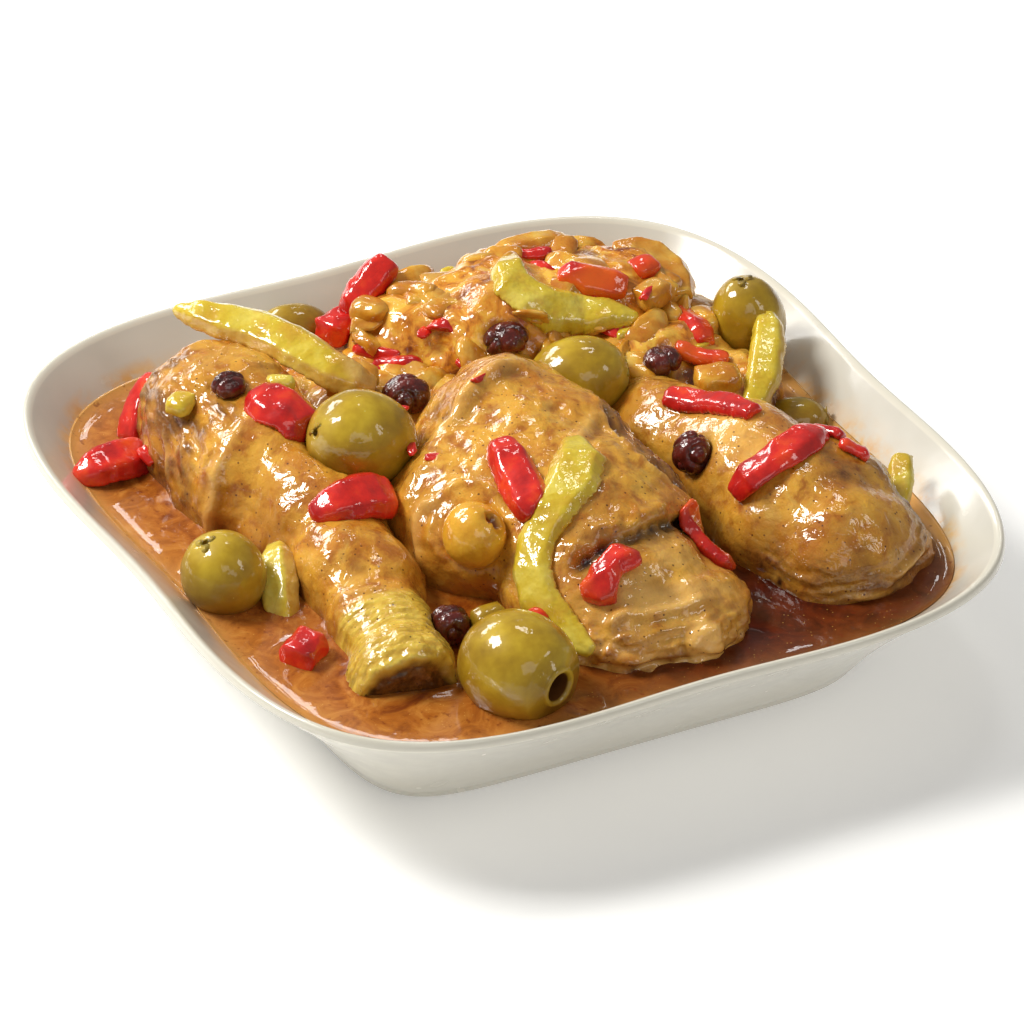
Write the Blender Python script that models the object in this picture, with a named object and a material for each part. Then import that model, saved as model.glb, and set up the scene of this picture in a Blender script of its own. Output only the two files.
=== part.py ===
"""A chicken tagine stew in its square porcelain dish: two drumsticks, two thighs, olives, preserved
lemon peel, red pepper, onion and raisins, standing in a pool of sauce. Lengths are millimetres."""

import math

import bmesh
import bpy
import numpy as np
from mathutils import Matrix, Vector, noise
from mathutils.bvhtree import BVHTree

MM = 0.001
GAP = 0.35  # clearance between touching pieces

# Dish: a rounded square that flares from a small foot to a wide rim.
RIM_HALF = 90.0
RIM_HEIGHT = 35.2
RIM_SQUARENESS = 4.4
SIDE_BOW = 0.0063
LIP = 1.7
FOOT_HALF = 60.7
FOOT_SQUARENESS = 7.1
FOOT_ROUND = 2.5
FOOT_RECESS = 1.5
FOOT_RING = 5.0
FLARE = 1.3
WALL = 3.5
FLOOR = 6.0
AROUND = 48

# Inside of the dish below its lip: heights over the floor, and how far in from the outer wall.
INSIDE = ((0.0, 11.0), (0.9, 7.2), (4.0, 4.2), (10.0, WALL), (21.0, WALL))

# Sauce: filled to a level below the rim.
SAUCE_LEVEL = RIM_HEIGHT - 8.7

# Chicken and the bed of stewed onion: rounded lumps, as centre and radii, fused into one skin.
DRUMSTICK_LEFT = [
    ((-45, 53, 31.5), (17, 13, 17)),
    ((-46, 43, 30.5), (19, 18, 20)),
    ((-46, 28, 29.5), (19.5, 20, 20)),
    ((-43, 8, 28.5), (15, 20, 17)),
    ((-45, -14, 27), (13, 20, 14)),
    ((-48, -34, 26), (11.5, 16, 12)),
    ((-51.5, -49, 25), (12.5, 11, 12.5)),
]
THIGH_CENTRE = [
    ((2, 8, 38), (19, 18, 17)),
    ((4, -4, 35.5), (24, 22, 19)),
    ((-8, -12, 32), (25, 26, 19)),
    ((2, -26, 34), (24, 26, 19)),
    ((0, -42, 30), (23, 20, 17)),
    ((-3, -55, 26), (16, 15, 13)),
    ((8, -58, 26), (15, 14, 12)),
    ((18, -56, 28), (9, 10, 8)),
    ((13, -22, 32), (17, 24, 17)),
    ((10.5, -67.5, 29.5), (5, 5, 5)),
]
THIGH_BACK = [
    ((24, 50, 33), (24, 18, 17)),
    ((47, 48, 31.5), (22, 18, 17)),
    ((6, 57, 29), (14, 14, 16)),
    ((50, 28, 28), (18, 16, 14)),
    ((61, 12, 26.5), (13, 15, 11)),
    ((68, 33, 26), (12, 16, 11)),
]
DRUMSTICK_RIGHT = [
    ((53, -50, 26.5), (18, 17, 18)),
    ((52, -38, 28.5), (20, 20, 19)),
    ((48, -20, 30), (16, 22, 17)),
    ((42, 2, 29), (12, 20, 13)),
    ((38, 18, 26), (9, 14, 10)),
    ((67.3, -54, 26.2), (7, 7, 6)),
]
ONION_BED = [
    ((-6, 36, 25), (24, 22, 12)),
    ((-22, 62, 22), (24, 16, 10)),
    ((22, 22, 25), (20, 18, 13)),
]
FINE_VOXEL = 1.5
UNDERSIDE = 15.0  # height at which hidden undersides are flat

# Folds (raised) and creases (sunk) in the skin: path, half width, height.
THIGH_CENTRE_FOLDS = [
    (((2, 9, 55), (-5, 6, 53), (-12, 4, 49), (-20, -3, 47), (-28, -9, 42)), 3.5, 1.8),
    (((-8, -47, 45), (-1, -46, 46), (7, -45, 46), (20, -38, 42)), 3.0, 1.6),
    (((-10, -50, 43), (-4, -49.5, 45), (4, -49.5, 45), (17, -44, 41), (25, -38, 36)), 2.6, -3.2),
    (((-12, -66, 27), (-4, -68, 28), (5, -69, 25), (14, -66, 25)), 2.4, -2.0),
]
DRUMSTICK_LEFT_FOLDS = [
    (((-56, 24, 46), (-60.6, 21, 40), (-63, 20, 34), (-63, 19.5, 28)), 2.6, 1.4),
    (((-60, 26, 42), (-64, 25, 34), (-64, 24, 28)), 2.6, -1.2),
]
DRUMSTICK_RIGHT_FOLDS = [
    (((66, -40, 40), (69, -46, 34), (70, -53, 27)), 2.6, 1.4),
    (((61, -47, 41), (63, -56, 34), (62, -62, 27)), 2.6, -1.2),
]
THIGH_BACK_FOLDS = [
    (((2, 52, 42), (10, 44, 44), (22, 38, 43), (34, 34, 41)), 3.0, 1.5),
    (((6, 60, 45), (16, 55, 49), (26, 56, 50)), 3.0, -1.4),
    (((40, 40, 46), (50, 34, 43), (60, 30, 39)), 3.0, -1.4),
]
# The severed end of the left drumstick: a point on it and its direction.
KNUCKLE_END = ((-54, -56, 25), (-0.2, -0.95, -0.22))

# Whole olives and the pearl onion: centre, long and short radius, direction of the stoned end, hole.
OLIVES = {
    "olive_top": ((-30.9, 10.2, 45.5), 12.2, 10.8, (-0.86, 0.0, 0.37), 0.0),
    "olive_left": ((-72.0, -6.0, 32.5), 9.6, 9.0, (-0.43, 0.09, 0.89), 0.0),
    "olive_front": ((-33.3, -65.9, 33.5), 13.4, 11.8, (0.35, -0.93, 0.0), 3.2),
    "olive_centre_back": ((28, 20.5, 39), 11.0, 9.2, (0.85, -0.45, 0.2), 0.0),
    "olive_back_right": ((74, 27, 37.5), 10.6, 8.2, (-0.15, 0.1, 0.98), 0.0),
    "olive_far_left": ((-13, 75.5, 31), 8.5, 6.2, (0.9, -0.35, 0.1), 0.0),
    "olive_right_small": ((72, 2, 26), 7.5, 5.5, (0.8, -0.5, 0.2), 0.0),
    "onion_pearl": ((-24.2, -28.5, 42), 7.6, 6.8, (-0.1, -0.75, 0.65), 2.4),
}
# Raisins: centre and radii.
RAISINS = {
    "raisin_left": ((-49.7, 36.1, 49.6), (4.2, 3.6, 3.3)),
    "raisin_middle": ((-9.8, 29.6, 39.8), (5.6, 5.0, 4.4)),
    "raisin_back": ((18, 35.5, 42.6), (5.4, 4.6, 4.0)),
    "raisin_back_right": ((47.2, 18, 39.2), (4.4, 3.8, 3.2)),
    "raisin_right": ((34.2, -18.5, 40.4), (4.6, 4.6, 5.0)),
    "raisin_front": ((-37.2, -42.1, 31), (4.6, 4.4, 4.6)),
}
# Strips: path, widths along it, thickness, bulge, direction they face (none: that of what is below).
LEMONS = {
    "lemon_left": (
        ((-44.8, 70.3, 48), (-40, 61.6, 49.5), (-33.4, 53, 49.5), (-28.4, 41.6, 49), (-23.2, 33.5, 46.5),
         (-17, 31.5, 43)),
        (2.5, 8, 10, 10, 9, 6), 3.4, 0.8, (-0.25, -0.35, 0.9),
    ),
    "lemon_back": (
        ((28.9, 55.5, 51), (24.5, 46.1, 50.5), (28, 38.5, 47.5), (38.4, 35.5, 44.5), (48.7, 31.5, 43.5)),
        (5, 9, 9.5, 8, 4), 3.6, 0.0, None,
    ),
    "lemon_centre": (
        ((4.3, -19.6, 52.6), (0, -30, 52.8), (-9.9, -37, 48.6), (-17.2, -41.3, 42), (-20.5, -49.2, 37.5),
         (-20, -56.4, 34.5), (-15.6, -63.7, 31)),
        (6, 12, 9.5, 9, 9, 8, 4.5), 3.2, 0.8, None,
    ),
    "lemon_right": (
        ((76.2, 22.6, 42.5), (70.9, 12.7, 40), (65.1, 4.9, 37), (58.8, -0.8, 33)),
        (3.5, 6.5, 6.5, 4), 2.8, 0.6, (-0.5, -0.7, 0.5),
    ),
    "lemon_far": (
        ((77.9, -33.4, 36), (73.9, -39.7, 33.7), (69.2, -45.4, 30)), (5.5, 5.5, 4.5), 2.8, 0.4, (-0.5, -0.7, 0.4),
    ),
    "lemon_front": (
        ((-56.6, -1, 32), (-60.5, -9.5, 29.5), (-64, -18.5, 24)), (5, 8, 6), 4.6, 1.0, (-0.7, -0.5, 0.5),
    ),
}
PEPPERS = {
    "pepper_back_left": (
        ((-4.5, 66.5, 38), (0.5, 67.2, 43.5), (6.6, 68.9, 48)), (5, 7, 5), 3.2, 0.8, (-0.6, -0.6, 0.5),
    ),
    "pepper_far_left": (
        ((-52.7, 64, 37), (-57.5, 61.5, 33), (-62.5, 58, 26.5)), (5, 8, 6.5), 3.0, 0.6, (-0.6, 0.1, 0.8),
    ),
    "pepper_left": (
        ((-80, 46.9, 28.5), (-71.6, 47.4, 30), (-60, 49.8, 27)), (4, 10, 8), 3.2, 1.2, (-0.1, -0.3, 0.95),
    ),
    "pepper_on_left": (((-45.8, 30.5, 49.1), (-43.2, 22.6, 48), (-40, 15.8, 45.3)), (7, 11, 7), 3.6, 1.0, None),
    "pepper_beside_left": (
        ((-50, -4.6, 40.5), (-43, -6, 43), (-36, -5.4, 42), (-31, -5, 39)), (4, 9, 10, 6), 3.4, 1.0, (0.2, -0.35, 0.9),
    ),
    "pepper_centre": (((-10, -13.5, 50.9), (-11.8, -25.3, 49.8), (-12.8, -37, 47)), (5.5, 7.8, 6), 4.0, 1.2, None),
    "pepper_crease": (
        ((-13, -55.4, 40), (-9, -56.3, 41), (-5, -54.5, 43), (-0.5, -53.2, 43)), (5, 8, 6, 8), 4.0, 1.0, None,
    ),
    "pepper_thigh_right": (((19.5, -38.5, 42), (24.7, -44.3, 37), (28.5, -48, 33)), (6.5, 8, 6), 3.2, 0.8, None),
    "pepper_on_right": (((35.5, -36.2, 39), (44.4, -37.4, 45.6), (57.5, -31.5, 45)), (8, 10, 8), 3.6, 1.0, None),
    "pepper_right_upper": (
        ((39.2, 0.6, 41.1), (44.4, -8.1, 43.4), (47.8, -21, 46.8)), (6, 7, 5.5), 3.2, 0.6, None,
    ),
    "pepper_back_right": (((60.4, 34, 38.6), (60.2, 28, 38.6), (59.8, 21.5, 38)), (5, 7, 5), 3.4, 0.6, None),
    "pepper_back_lower": (((52.5, 21, 39), (56.5, 17, 38.6), (61.5, 14.4, 37)), (3.5, 4.5, 4), 3.0, 0.4, None),
    "pepper_under_lemon": (((36.5, 46, 46.9), (42.9, 42.3, 47), (49.5, 38.7, 45.6)), (5, 8.5, 6), 3.6, 0.8, None),
    "pepper_far_back": (((32.5, 65.2, 45.5), (37, 62.6, 46.5), (41.5, 60, 46.5)), (4, 5, 4), 3.0, 0.4, None),
    "pepper_sliver_left": (((-7.5, 57.5, 34.8), (-4.5, 52.5, 36), (-1.2, 47.5, 37.2)), (2.5, 3.5, 2.5), 2.4, 0.3, None),
    "pepper_sliver_middle": (((-6.5, 50, 34.8), (-3.5, 46, 35.4), (-0.5, 41.8, 35)), (3, 4.5, 3), 2.6, 0.3, None),
    "pepper_edge_near": (((57.6, -27.5, 44.5), (59.6, -31, 45), (61.2, -35, 45)), (3, 3.8, 3), 2.6, 0.3, None),
    "pepper_edge_far": (((59.4, -37, 45.5), (61.8, -39, 44.6), (64.2, -41, 43)), (3, 3.8, 3), 2.6, 0.3, None),
}
ONION_STRIPS = {
    "onion_petal": (((55, 54, 45), (62.5, 47.5, 44), (62, 36, 42)), (10, 14, 9), 2.4, 3.0, (0.1, -0.3, 0.95)),
    "onion_back_left": (((3.6, 64, 45), (7.4, 60.6, 47.5), (11, 57.4, 48.6)), (4.5, 5.5, 4.5), 3.0, 0.6, None),
    "onion_far_back": (((32, 66, 43.5), (40, 66, 45), (49, 65, 44)), (6, 7.5, 6), 2.6, 1.0, (0, 0.2, 0.97)),
}
# Diced pieces: centre, size, turn about the upright.
CHUNKS = {
    "onion_dice_back": ((54.6, 36.3, 44.2), (8.5, 7, 6), 20),
    "onion_dice_left": ((-2.8, 59.4, 42.6), (7, 8.5, 5), 40),
    "onion_dice_right": ((63.5, 29.8, 37.5), (10, 9, 7), 10),
    "onion_dice_low": ((56, 8.6, 37.6), (10.5, 8, 6), -20),
    "onion_dice_olive": ((-18.5, 37.8, 41), (11.5, 9, 7), 25),
    "lemon_dice": ((-59.2, 39.6, 45.4), (7, 5.5, 3.6), 30),
    "lemon_shred": ((-38.6, 33.6, 48.2), (6.5, 4, 4), -30),
    "pepper_dice_left": ((-6.5, 66.4, 35.8), (9.5, 8, 6.5), 15),
    "pepper_dice_front": ((-67.0, -33.6, 28.6), (9.5, 8, 6.5), 35),
    "pepper_dice_back": ((56.4, 43.6, 46), (7, 6, 5), 0),
    "pepper_dice_small": ((-22, -52.4, 34), (5.5, 4.5, 4.5), 10),
    "olive_bit": ((-30.0, -46.0, 32.6), (7.5, 6, 7), 0),
}

FLAT_ANGLE = 0.7  # degrees between faces that count as one
SOFT_DEPTH = 2.5  # how far soft pieces give way to what they lie on

PORCELAIN = (0.80, 0.79, 0.75)
SAUCE = (0.42, 0.14, 0.02)
CHICKEN = (0.56, 0.31, 0.10)
COLOURS = {
    "olive": (0.30, 0.29, 0.03),
    "raisin": (0.035, 0.008, 0.006),
    "lemon": (0.72, 0.60, 0.06),
    "pepper": (0.62, 0.03, 0.01),
    "onion": (0.62, 0.34, 0.07),
}


def mm(*values):
    return Vector(values) * MM


def wall_radius(angle, height):
    """Distance of the dish's outer wall from its centre line at a height, in a direction."""
    down = min(max(1 - height / (RIM_HEIGHT - LIP), 0.0), 1.0)
    half = RIM_HALF + (FOOT_HALF - RIM_HALF) * (1 - (1 - down) ** FLARE)
    power = RIM_SQUARENESS + (FOOT_SQUARENESS - RIM_SQUARENESS) * down
    c, s = abs(math.cos(angle)), abs(math.sin(angle))
    bow = 1 + SIDE_BOW * (1 - math.cos(8 * angle)) * (1 - down)
    return half * bow * (c**power + s**power) ** (-1 / power)


def ring(height, inset=0.0, follow=None):
    """Loop of points around the dish at a height, set in from the wall as it is at follow."""
    points = []
    for i in range(AROUND):
        angle = 2 * math.pi * i / AROUND
        radius = wall_radius(angle, height if follow is None else follow) - inset
        points.append(mm(radius * math.cos(angle), radius * math.sin(angle), height))
    return points


def new_object(name, bm):
    """Object from a bmesh, which is freed, with its faces turned outward and shaded smooth."""
    bmesh.ops.recalc_face_normals(bm, faces=bm.faces)
    mesh = bpy.data.meshes.new(name)
    bm.to_mesh(mesh)
    bm.free()
    mesh.shade_smooth()
    obj = bpy.data.objects.new(name, mesh)
    bpy.context.scene.collection.objects.link(obj)
    return obj


def loft(name, rings):
    """Closed solid through rings of equal length, capped at both ends."""
    bm = bmesh.new()
    loops = [[bm.verts.new(p) for p in points] for points in rings]
    count = len(rings[0])
    for lower, upper in zip(loops, loops[1:]):
        for i in range(count):
            j = (i + 1) % count
            bm.faces.new((lower[i], lower[j], upper[j], upper[i]))
    bm.faces.new(list(reversed(loops[0])))
    bm.faces.new(loops[-1])
    bmesh.ops.triangulate(bm, faces=bm.faces)
    return new_object(name, bm)


def finished(obj):
    """Replaces an object's mesh by the one that its modifiers give, and drops the modifiers."""
    bpy.context.view_layer.update()
    graph = bpy.context.evaluated_depsgraph_get()
    mesh = bpy.data.meshes.new_from_object(obj.evaluated_get(graph))
    obj.modifiers.clear()
    obj.data = mesh
    return obj


def make_dish():
    rings = [ring(FOOT_RECESS, FOOT_ROUND + FOOT_RING + 1, 0), ring(0, FOOT_ROUND + FOOT_RING, 0)]
    rings += [ring(0, FOOT_ROUND, 0), ring(0.7, 0.7, FOOT_ROUND), ring(FOOT_ROUND)]
    rings += [ring(height) for height in (9, 17, 26, RIM_HEIGHT - LIP)]
    rings += [ring(RIM_HEIGHT - LIP + 1.2, 0.6), ring(RIM_HEIGHT, 1.9), ring(RIM_HEIGHT - LIP + 1.2, 3.0)]
    rings += [ring(FLOOR + height, inset) for height, inset in reversed(INSIDE)]
    return loft("dish", rings)


def make_cavity(name, top, gap):
    """The free inside of the dish up to a height, kept clear of its wall and floor."""
    rings = [ring(FLOOR + h + (gap if h < 1 else 0), inset + gap) for h, inset in INSIDE if FLOOR + h < top]
    if top > RIM_HEIGHT:
        rings.append(ring(RIM_HEIGHT - LIP, WALL + gap))
    rings.append(ring(top, WALL + gap))
    return loft(name, rings)


def smooth_path(points, count):
    """Points at even steps on a Catmull-Rom curve through the given ones."""
    points = [mm(*p) for p in points]
    ends = [2 * points[0] - points[1], *points, 2 * points[-1] - points[-2]]
    found = []
    for k in range(count):
        u = k / (count - 1) * (len(points) - 1)
        i = min(int(u), len(points) - 2)
        t = u - i
        a, b, c, d = ends[i : i + 4]
        curve = 2 * b + (c - a) * t + (2 * a - 5 * b + 4 * c - d) * t * t + (3 * b - a - 3 * c + d) * t**3
        found.append(0.5 * curve)
    return found


def spread(values, count):
    """A short list of numbers read at even steps, with straight lines between."""
    return np.interp(np.linspace(0, len(values) - 1, count), range(len(values)), values)


def fold(obj, path, half_width, height):
    """Raises or sinks the surface of an object along a path."""
    spine = smooth_path(path, 24)
    for vertex in obj.data.vertices:
        near = min((vertex.co - p).length for p in spine) / (half_width * MM)
        if near < 2.5:
            ends = min((vertex.co - spine[0]).length, (vertex.co - spine[-1]).length)
            fade = min(1.0, ends / (3 * MM) + 0.3)
            vertex.co += vertex.normal * (height * MM * fade * math.exp(-near * near))


def make_lumps(name, lumps, folds, triangles, cut=None):
    """A soft piece: lumps fused into one skin, folded, and cut off flat where wanted."""
    bm = bmesh.new()
    for centre, radii in lumps:
        place = Matrix.Translation(mm(*centre)) @ Matrix.Diagonal((*mm(*radii), 1))
        bmesh.ops.create_icosphere(bm, subdivisions=4, radius=1, matrix=place)
    obj = new_object(name, bm)
    fuse = obj.modifiers.new("fuse", "REMESH")
    fuse.mode = "VOXEL"
    fuse.voxel_size = FINE_VOXEL * MM
    soften = obj.modifiers.new("soften", "SMOOTH")
    soften.iterations = 12
    finished(obj)
    for vertex in obj.data.vertices:
        swell = noise.noise(vertex.co * 70) * 1.4 + noise.noise(vertex.co * 160) * 0.7
        vertex.co += vertex.normal * swell * MM
        vertex.co.z = max(vertex.co.z, UNDERSIDE * MM)
    for path, half_width, height in folds:
        fold(obj, path, half_width, height)
    if cut:
        bm = bmesh.new()
        bm.from_mesh(obj.data)
        geometry = bm.verts[:] + bm.edges[:] + bm.faces[:]
        point, direction = cut
        made = bmesh.ops.bisect_plane(
            bm, geom=geometry, plane_co=mm(*point), plane_no=direction, clear_outer=True
        )
        border = [e for e in made["geom_cut"] if isinstance(e, bmesh.types.BMEdge)]
        bmesh.ops.edgeloop_fill(bm, edges=border)
        bmesh.ops.recalc_face_normals(bm, faces=bm.faces)
        bm.to_mesh(obj.data)
        bm.free()
    faces = sum(len(p.vertices) - 2 for p in obj.data.polygons)
    thin = obj.modifiers.new("thin", "DECIMATE")
    thin.ratio = triangles / faces
    return finished(obj)


def make_strip(name, path, widths, thickness, bulge, facing, ground):
    """A strip of peel or pepper along a path, lying on what is below it or facing a given way."""
    stations = len(path) + 3
    spine = smooth_path(path, stations)
    half_widths = spread(widths, stations) / 2
    shoulders = np.ones(stations)
    shoulders[0] = shoulders[-1] = 0.45
    rings = []
    for k, centre in enumerate(spine):
        along = (spine[min(k + 1, stations - 1)] - spine[max(k - 1, 0)]).normalized()
        up = Vector(facing) if facing else None
        if not facing:
            centre, up = ground.find_nearest(centre)[:2]
        up = (up - along * up.dot(along)).normalized()
        side = along.cross(up)
        if not facing:
            centre = centre + up * (thickness * 0.3 * MM)
        width, rise = half_widths[k] * shoulders[k] ** 0.5, thickness / 2 * shoulders[k]
        loop = []
        for across, high in ((-1, 0), (-0.6, 1), (0.6, 1), (1, 0), (0.6, -1), (-0.6, -1)):
            wobble = 1 + 0.14 * noise.noise(centre * 300 + Vector((across * 3, high, 0)))
            lift = high * rise + bulge * (0.6 - across * across)
            loop.append(centre + side * (across * width * wobble * MM) + up * (lift * MM))
        rings.append(loop)
    obj = loft(name, rings)
    lay_on(obj, ground)
    return obj


def lay_on(obj, ground):
    """Moves what is just inside the ground out to its surface."""
    for vertex in obj.data.vertices:
        point, normal = ground.find_nearest(vertex.co)[:2]
        depth = (vertex.co - point).dot(normal)
        if abs(depth) < SOFT_DEPTH * MM and depth < 1.6 * GAP * MM:
            vertex.co = point + normal * (1.6 * GAP * MM)


def make_chunk(name, centre, size, turn, ground):
    """A diced piece: a lumpy block with round edges."""
    bm = bmesh.new()
    bmesh.ops.create_icosphere(bm, subdivisions=2, radius=1)
    spin = Matrix.Rotation(math.radians(turn), 3, "Z")
    for vertex in bm.verts:
        direction = vertex.co.normalized()
        square = sum(abs(c) ** 4 for c in direction) ** -0.25
        lump = 1 + 0.12 * noise.noise(direction * 2 + Vector(centre))
        stretched = Vector(c * s / 2 for c, s in zip(direction * (square * lump * 0.95), size))
        vertex.co = (spin @ stretched + Vector(centre)) * MM
    obj = new_object(name, bm)
    lay_on(obj, ground)
    return obj


def make_olive(name, centre, long_radius, short_radius, direction, hole):
    """An olive turned about its long axis, with a dimple or a stoned hole at one end."""
    profile = []
    for k in range(7):
        angle = math.pi * (0.09 + 0.8 * k / 6)
        profile.append((-math.cos(angle) * long_radius, math.sin(angle) ** 0.9 * short_radius))
    if hole:
        top = long_radius * 0.86
        profile[-1] = (top, hole + 1.3)
        profile += [(top, hole), (top - 1.0, hole * 0.85), (-long_radius * 0.3, hole * 0.8)]
    else:
        profile += [(long_radius * 0.975, 1.7), (long_radius * 0.9, 0.8)]
    turn = Vector((0, 0, 1)).rotation_difference(Vector(direction)).to_matrix()
    around = 10
    rings = []
    for along, radius in profile:
        angles = (2 * math.pi * i / around for i in range(around))
        loop = (Vector((radius * math.cos(a), radius * math.sin(a), along)) for a in angles)
        rings.append([(turn @ p + Vector(centre)) * MM for p in loop])
    return loft(name, rings)


def make_raisin(name, centre, radii):
    """A wrinkled raisin."""
    bm = bmesh.new()
    bmesh.ops.create_icosphere(bm, subdivisions=3, radius=1)
    for vertex in bm.verts:
        direction = vertex.co.normalized()
        wrinkle = 1 - 0.16 * abs(noise.noise(direction * 2.6 + Vector(centre)))
        vertex.co = mm(*(c * r * wrinkle + o for c, r, o in zip(direction, radii, centre)))
    obj = new_object(name, bm)
    thin = obj.modifiers.new("thin", "DECIMATE")
    thin.ratio = 0.28
    return finished(obj)


def swollen(obj):
    """Hidden copy of an object grown by the clearance, to cut its neighbours with."""
    copy = obj.copy()
    copy.data = obj.data.copy()
    copy.name = "room_for_" + obj.name
    copy.hide_render = True
    copy.display_type = "WIRE"
    bpy.context.scene.collection.objects.link(copy)
    normals = [v.normal.copy() for v in copy.data.vertices]
    for vertex, normal in zip(copy.data.vertices, normals):
        vertex.co += normal * (GAP * MM)
    return copy


def box_of(obj):
    points = np.array([v.co for v in obj.data.vertices])
    return points.min(axis=0), points.max(axis=0)


def meet(first, second):
    """Whether two objects' surfaces cross."""
    (a, b), (c, d) = box_of(first), box_of(second)
    return bool(np.all(a < d) and np.all(c < b)) and bool(ground_of([first]).overlap(ground_of([second])))


def volume_of(mesh):
    bm = bmesh.new()
    bm.from_mesh(mesh)
    volume = bm.calc_volume()
    bm.free()
    return volume


def boolean(obj, operation, other):
    """Cuts an object by another, with the second solver where the first one loses the piece."""
    before, room = volume_of(obj.data), volume_of(other.data)
    least = before - room if operation == "DIFFERENCE" else before * 0.2
    original = obj.data
    for solver in ("EXACT", "MANIFOLD"):
        obj.data = original
        step = obj.modifiers.new("cut", "BOOLEAN")
        step.operation = operation
        step.object = other
        step.solver = solver
        finished(obj)
        if obj.data.polygons and volume_of(obj.data) >= max(least, before * 0.05) * 0.99:
            break
    bm = bmesh.new()
    bm.from_mesh(obj.data)
    bmesh.ops.remove_doubles(bm, verts=bm.verts, dist=0.00002)
    bmesh.ops.triangulate(bm, faces=bm.faces)
    drop_flaps(bm)
    bm.to_mesh(obj.data)
    bm.free()


def drop_flaps(bm):
    """Removes pairs of faces that lie on each other, back to back."""
    alike = {}
    for face in bm.faces:
        alike.setdefault(frozenset(face.verts), []).append(face)
    flaps = [face for faces in alike.values() if len(faces) == 2 for face in faces]
    bmesh.ops.delete(bm, geom=flaps, context="FACES")


def keep_largest(obj):
    """Drops the small loose scraps that cutting leaves."""
    bm = bmesh.new()
    bm.from_mesh(obj.data)
    left = set(bm.verts)
    islands = []
    while left:
        stack = [left.pop()]
        island = set(stack)
        while stack:
            for edge in stack.pop().link_edges:
                for vertex in edge.verts:
                    if vertex not in island:
                        island.add(vertex)
                        stack.append(vertex)
        left -= island
        islands.append(island)
    islands.sort(key=len)
    bmesh.ops.delete(bm, geom=[v for island in islands[:-1] for v in island], context="VERTS")
    bm.to_mesh(obj.data)
    bm.free()
    obj.data.shade_smooth()


def tidy(obj):
    """Merges the nearly flat slivers that cutting leaves."""
    bm = bmesh.new()
    bm.from_mesh(obj.data)
    bmesh.ops.dissolve_limit(bm, angle_limit=math.radians(FLAT_ANGLE), verts=bm.verts, edges=bm.edges)
    bmesh.ops.triangulate(bm, faces=bm.faces)
    bm.to_mesh(obj.data)
    bm.free()


def make_material(name, colour, roughness):
    material = bpy.data.materials.new(name)
    material.use_nodes = True
    shader = material.node_tree.nodes["Principled BSDF"]
    shader.inputs["Base Color"].default_value = (*colour, 1)
    shader.inputs["Roughness"].default_value = roughness
    return material


def paint(obj, colour, roughness):
    obj.data.materials.clear()
    obj.data.materials.append(make_material(obj.name, colour, roughness))


def ground_of(objects):
    """Search tree over the faces of several objects."""
    points, faces = [], []
    for obj in objects:
        start = len(points)
        points += [v.co for v in obj.data.vertices]
        faces += [[start + i for i in p.vertices] for p in obj.data.polygons]
    return BVHTree.FromPolygons(points, faces)


def main():
    for obj in list(bpy.data.objects):
        bpy.data.objects.remove(obj)
    paint(make_dish(), PORCELAIN, 0.12)

    hard = [make_olive(name, *spec) for name, spec in OLIVES.items()]
    hard += [make_raisin(name, *spec) for name, spec in RAISINS.items()]
    meat = [
        make_lumps("thigh_centre", THIGH_CENTRE, THIGH_CENTRE_FOLDS, 560),
        make_lumps("drumstick_left", DRUMSTICK_LEFT, DRUMSTICK_LEFT_FOLDS, 430, KNUCKLE_END),
        make_lumps("drumstick_right", DRUMSTICK_RIGHT, DRUMSTICK_RIGHT_FOLDS, 380),
        make_lumps("thigh_back", THIGH_BACK, THIGH_BACK_FOLDS, 400),
    ]
    bed = make_lumps("onion_bed", ONION_BED, [], 220)
    ground = ground_of([*meat, bed])
    soft = [make_strip(name, *spec, ground) for name, spec in LEMONS.items()]
    soft += [make_strip(name, *spec, ground) for name, spec in PEPPERS.items()]
    soft += [make_strip(name, *spec, ground) for name, spec in ONION_STRIPS.items()]
    soft += [make_chunk(name, *spec, ground) for name, spec in CHUNKS.items()]

    # Each piece makes room for those before it in this order, and all keep inside the dish.
    cavity = make_cavity("cavity", RIM_HEIGHT + 60, GAP)
    sauce = make_cavity("sauce", SAUCE_LEVEL, 2 * GAP)
    pieces = [*hard, *meat, *soft, bed, sauce]
    rooms = [swollen(obj) for obj in pieces]
    for index, obj in enumerate(pieces):
        neighbours = [room for room in rooms[:index] if meet(obj, room)]
        for room in neighbours:
            boolean(obj, "DIFFERENCE", room)
        if obj is not sauce and meet(obj, cavity):
            boolean(obj, "INTERSECT", cavity)
        keep_largest(obj)
        tidy(obj)
    for helper in [cavity, *rooms]:
        bpy.data.objects.remove(helper)

    for obj in meat:
        paint(obj, CHICKEN, 0.35)
    paint(sauce, SAUCE, 0.1)
    for obj in [*hard, *soft, bed]:
        paint(obj, COLOURS[obj.name.split("_")[0]], 0.3)


main()
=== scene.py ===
"""Looks of the chicken tagine stew: fine skins, wet glazes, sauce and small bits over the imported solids.
Points and sizes are in millimetres until they are written to a mesh."""

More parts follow.
